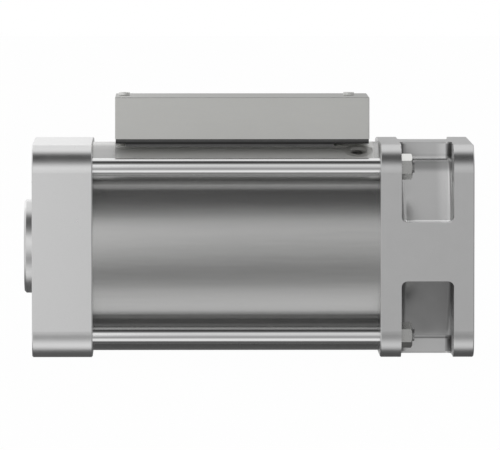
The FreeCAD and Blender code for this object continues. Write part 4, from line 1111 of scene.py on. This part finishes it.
@dataclass
class Clamp:
    """Jaws, linings, piston and springs inside the barrel.

    The opener sizes are those of the small springs between the jaws, and half the gap is what
    lies between their middle and a jaw.
    """

    springs: int = 8
    wire: float = 2.8 * MM
    coil: float = 14 * MM
    turns: float = 26.0
    stroke: float = 6 * MM
    opener_ring: float = 22 * MM
    opener_coil: float = 4.6 * MM
    opener_wire: float = 0.7 * MM
    opener_turns: float = 5.5
    half_gap: float = 1.15 * MM

    def build(self) -> None:
        """Dress the solids and grow the springs."""
        for number in range(1, 5):
            dress(HARD, f"jaw_{number}")
            dress(BRONZE, f"lining_{number}")
        dress(HARD, "thrust_ring", "thrust_ring_screws", "thrust_sleeve", "spring_plate")
        dress(HARD, "spring_guide_pins", "trip_pin")
        dress(BARREL, "release_piston")
        dress(RUBBER, "piston_seal", "hub_seal")
        dress(PLASTIC, "piston_guide", "hub_guide")
        dress(NUT, "trip_flag")
        self.brake_springs()
        self.jaw_springs()

    def brake_springs(self) -> None:
        """Grow the coil springs in their circle."""
        low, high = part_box("brake_springs")
        circle = middle_radius("brake_springs", self.springs, self.coil)
        tree = GrowthTree(
            "coil_springs", Start=0.0, Length=0.1, Coil=0.005, Wire=0.001, Turns=20.0, Circle=0.04
        )
        given = tree.given
        coil = tree.helix(given["Coil"], given["Length"], given["Turns"], given["Wire"], 8, 20)
        coil = tree.shifted(coil, given["Start"])
        ring = tree.add(
            "GeometryNodeMeshCircle", {"Vertices": self.springs, "Radius": given["Circle"]}
        ).outputs[0]
        half_step = math.pi / self.springs
        ring = tree.moved(ring, Rotation=Z_ONTO_X)
        ring = tree.moved(ring, Rotation=(half_step, 0.0, 0.0))
        tree.close(tree.on_points(ring, coil))
        piece = tree.grow(
            "brake_spring_set",
            SPRING,
            Slot.SPRING,
            Start=low.x + self.wire / 2,
            Length=high.x - low.x - self.wire,
            Coil=(self.coil - self.wire) / 2,
            Wire=self.wire / 2,
            Turns=self.turns,
            Circle=circle,
        )
        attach(piece, HOUSING)
        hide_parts("brake_springs")
        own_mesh(piece)

    def jaw_springs(self) -> None:
        """Grow the small springs between the jaws, each in two halves, one beside each jaw."""
        low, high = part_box("jaw_openers")
        reach = math.sqrt(2) * high.z - self.opener_ring - self.opener_coil / 2
        tree = GrowthTree(
            "jaw_springs", Start=0.0, Spread=0.1, Coil=0.002, Length=0.01, Wire=0.0004, Turns=5.0
        )
        given = tree.given
        coil = tree.helix(given["Coil"], given["Length"], given["Turns"], given["Wire"], 8, 16)
        coil = tree.moved(coil, Rotation=X_ONTO_Z)
        seats = tree.add(
            "GeometryNodeMeshLine",
            {
                "Count": 2,
                "Start Location": tree.joined(given["Start"], 0.0, 0.0),
                "Offset": tree.joined(given["Spread"], 0.0, 0.0),
            },
        ).outputs[0]
        tree.close(tree.on_points(seats, coil))
        ring = Vector((0.0, self.opener_ring, 0.0))
        for jaw in range(1, 5):
            for side, word in ((-1, "before"), (1, "behind")):
                piece = tree.grow(
                    f"jaw_{jaw}_springs_{word}",
                    SPRING,
                    Slot.SPRING,
                    Start=low.x + self.opener_coil / 2,
                    Spread=high.x - low.x - self.opener_coil,
                    Coil=(self.opener_coil - self.opener_wire) / 2,
                    Length=reach - self.opener_wire / 2,
                    Wire=self.opener_wire / 2,
                    Turns=self.opener_turns,
                )
                turn = Matrix.Rotation(jaw * math.pi / 2 + side * math.pi / 4, 4, "X")
                flip = Matrix.Rotation(math.pi if side > 0 else 0.0, 4, "X")
                piece.data.transform(turn @ Matrix.Translation(ring) @ flip)
                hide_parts("jaw_openers")
                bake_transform(piece)


def middle_radius(node: str, count: int, width: float) -> float:
    """Work out the circle that a ring of equal round pieces stands on.

    Args:
        node: The solid that holds them, with no piece on an axis.
        count: How many there are.
        width: Diameter of one.

    Returns:
        The circle's radius.
    """
    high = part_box(node)[1]
    return (high.z - width / 2) / math.cos(math.pi / count)


@dataclass
class SwitchBox:
    """The switch box with its rails, cover, screws and switches.

    The socket's depth and the neck are shares of the head's height.
    """

    head: float = 6.4 * MM
    head_height: float = 1.9 * MM
    socket: float = 2.5 * MM
    socket_depth: float = 0.55
    neck: float = 0.9
    eased: float = 0.25 * MM

    def build(self) -> None:
        """Dress the box and grow its screws."""
        dress(BOX, "switch_cover")
        dress(BASE, "switch_base")
        dress(RAIL, "switch_rails")
        dress(SHEET, "switch_brackets")
        dress(SEAM, "switch_gasket")
        dress(NUT, "cover_pillars", "clamped_switch", "released_switch", "switch_nuts")
        dress(SCREW, "rail_screws")
        dress(BLACK, "cable_plug")
        self.screws()

    def screws(self) -> None:
        """Grow the two cap screws of the cover."""
        low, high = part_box("cover_screws")
        tree = GrowthTree(
            "cap_screws",
            First=0.0,
            Second=0.1,
            Top=0.09,
            Head=0.0032,
            Height=0.0019,
            Shank=0.0015,
            Length=0.012,
            Socket=0.0014,
        )
        given = tree.given
        head = tree.drum(given["Head"], given["Height"], 48)
        hole = tree.drum(given["Socket"], given["Height"], 6)
        shift = tree.number("MULTIPLY", given["Height"], self.socket_depth - 1)
        hole = tree.shifted(hole, shift)
        head = tree.boolean("DIFFERENCE", head, hole)
        under = tree.number("MULTIPLY", given["Height"], self.neck)
        shank = tree.drum(given["Shank"], given["Length"], 32)
        shank = tree.shifted(shank, under)
        screw = tree.join(head, shank)
        screw = tree.moved(screw, Rotation=Z_ONTO_X)
        places = tree.add(
            "GeometryNodeMeshLine",
            {
                "Count": 2,
                "Start Location": tree.joined(given["First"], 0.0, given["Top"]),
                "Offset": tree.joined(given["Second"], 0.0, given["Top"]),
            },
            mode="END_POINTS",
        ).outputs[0]
        tree.close(tree.on_points(places, screw))
        piece = tree.grow(
            "cover_screw_set",
            COVER_SCREW,
            Slot.NUT,
            First=low.x + self.head / 2,
            Second=high.x - self.head / 2,
            Top=high.z,
            Head=self.head / 2,
            Height=self.head_height,
            Length=high.z - low.z - self.neck * self.head_height,
            Socket=self.socket / math.sqrt(3),
        )
        ease_edges(piece, self.eased)
        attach(piece, HOUSING)
        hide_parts("cover_screws")


@dataclass
class AirPort:
    """The two threaded inserts of the release air and the plug in the near one."""

    def build(self) -> None:
        """Dress the inserts and the plug."""
        dress(PORT, "port_inserts")
        dress(SCREW, "port_plug")


@dataclass
class Studio:
    """Camera, floor, world and lamps.

    The surround gives the studio's level for each angle in degrees: 0 is level in front of
    the brake, 90 above it, 180 behind it, and below the level the angles are negative.
    """

    azimuth: float = math.radians(0.6581)
    elevation: float = math.radians(3.3343)
    distance: float = 4.0817
    lens: float = 499.56
    sensor: float = 36.0
    target: tuple[float, float, float] = (-0.12944, 0.0, 0.01224)
    floor_size: float = 12.0
    paper: float = 0.74
    seen_white: float = 0.985
    left_level: float = 0.8
    right_level: float = 0.45
    side_start: float = 0.6
    side_end: float = 0.95
    surround: tuple[tuple[float, float], ...] = (
        (-180.0, 0.3),
        (-150.0, 0.12),
        (-95.0, 0.12),
        (-80.0, 0.84),
        (-66.0, 1.05),
        (-50.0, 0.86),
        (-36.0, 0.46),
        (-24.0, 0.37),
        (-11.0, 0.5),
        (0.0, 0.66),
        (14.0, 0.8),
        (28.0, 0.8),
        (42.0, 0.3),
        (52.0, 0.1),
        (76.0, 0.04),
        (88.0, 0.5),
        (98.0, 1.05),
        (140.0, 0.95),
        (180.0, 0.4),
    )

    def build(self) -> None:
        """Set up everything that is not the brake."""
        bpy.context.scene.view_settings.view_transform = "Standard"
        self.camera()
        self.floor()
        self.world()
        self.lamp("front_left", (-0.72, -1.1, 0.1), 1.1, 1.4)
        self.lamp("back_left", (-0.62, 1.1, 0.25), 0.9, 1.5)

    def camera(self) -> None:
        """Stand the camera where the photograph was taken from."""
        data = bpy.data.cameras.new("photo_camera")
        data.lens = self.lens
        data.sensor_width = self.sensor
        camera = placed("photo_camera", data)
        bpy.context.scene.camera = camera
        ahead = Vector(
            (
                math.sin(self.azimuth) * math.cos(self.elevation),
                math.cos(self.azimuth) * math.cos(self.elevation),
                -math.sin(self.elevation),
            )
        )
        right = Vector((math.cos(self.azimuth), -math.sin(self.azimuth), 0.0))
        up = right.cross(ahead)
        turn = Matrix((right, up, -ahead)).transposed().to_4x4()
        place = Vector(self.target) - self.distance * ahead
        camera.matrix_world = Matrix.Translation(place) @ turn

    def floor(self) -> None:
        """Lay the floor, white to the camera but for the shadow."""
        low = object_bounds()[0].z - FLOOR_GAP
        half = self.floor_size / 2
        mesh = bpy.data.meshes.new("studio_floor")
        corners = [(-half, -half, low), (half, -half, low), (half, half, low), (-half, half, low)]
        mesh.from_pydata(corners, [], [(0, 1, 2, 3)])
        floor = placed("studio_floor", mesh)
        made = bpy.data.materials.new("floor_paper")
        graph = Graph.of(made)
        paper = graph.add("ShaderNodeBsdfDiffuse", {"Color": grey(self.paper)})
        white = graph.add("ShaderNodeEmission", {"Color": grey(1.0), "Strength": 1.0})
        shown = self.seen(graph, self.seen_white, paper, white)
        graph.add("ShaderNodeOutputMaterial", {"Surface": shown})
        mesh.materials.append(made)
        floor.visible_glossy = False
        floor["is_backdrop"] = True

    def seen(self, graph: Graph, share: float, made: Node, white: Node) -> Socket:
        """Show white to the camera and the made shader to every other ray.

        Args:
            graph: The graph of the floor's material or of the world.
            share: Share of the white.
            made: The node that lights and is lit.
            white: The node that the camera sees.

        Returns:
            The socket with the shader.
        """
        ray = graph.add("ShaderNodeLightPath").outputs
        mask = graph.number("MAXIMUM", ray["Is Camera Ray"], ray["Is Transmission Ray"])
        mask = graph.number("MULTIPLY", mask, share)
        inputs = {0: mask, 1: made.outputs[0], 2: white.outputs[0]}
        return graph.add("ShaderNodeMixShader", inputs).outputs[0]

    def world(self) -> None:
        """Hang the soft studio round the brake, white where the camera looks past it."""
        world = bpy.data.worlds.new("soft_studio")
        bpy.context.scene.world = world
        graph = Graph.of(world)
        parts = graph.parts("Generated")
        front = graph.number("MULTIPLY", parts["Y"], -1.0)
        lift = graph.number("ARCTAN2", parts["Z"], front)
        share = graph.number("ADD", graph.number("DIVIDE", lift, 2 * math.pi), 0.5)
        stops = [(angle / 360 + 0.5, level) for angle, level in self.surround]
        soft = graph.ramp(share, stops, "EASE")
        left = graph.span(parts["X"], -self.side_start, -self.side_end, (0.0, 1.0))
        right = graph.span(parts["X"], self.side_start, self.side_end, (0.0, 1.0))
        soft = graph.tint(left, soft, grey(self.left_level))
        soft = graph.tint(right, soft, grey(self.right_level))
        around = graph.add("ShaderNodeBackground", {"Color": soft, "Strength": 1.0})
        plain = graph.add("ShaderNodeBackground", {"Color": grey(1.0), "Strength": 1.0})
        shown = self.seen(graph, 1.0, around, plain)
        graph.add("ShaderNodeOutputWorld", {"Surface": shown})

    def lamp(
        self, name: str, place: tuple[float, float, float], size_m: float, watts: float
    ) -> None:
        """Add a soft lamp that looks at the brake.

        Args:
            name: The lamp's name.
            place: Where it stands.
            size_m: Side of its square face.
            watts: Its power.
        """
        data = bpy.data.lights.new(name, "AREA")
        data.shape = "SQUARE"
        data.size = size_m
        data.energy = watts
        lamp = placed(name, data)
        lamp.visible_camera = False
        toward = Vector(self.target) - Vector(place)
        lamp.matrix_world = (
            Matrix.Translation(Vector(place)) @ toward.to_track_quat("-Z", "Y").to_matrix().to_4x4()
        )


def main() -> None:
    """Build the scene round the solid model."""
    logging.basicConfig(level=logging.INFO)
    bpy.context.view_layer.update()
    for part in (EndCaps(), Barrel(), TieRods(), RodGuides(), Clamp(), SwitchBox(), AirPort()):
        part.build()
    Studio().build()


if __name__ == "__main__":
    main()
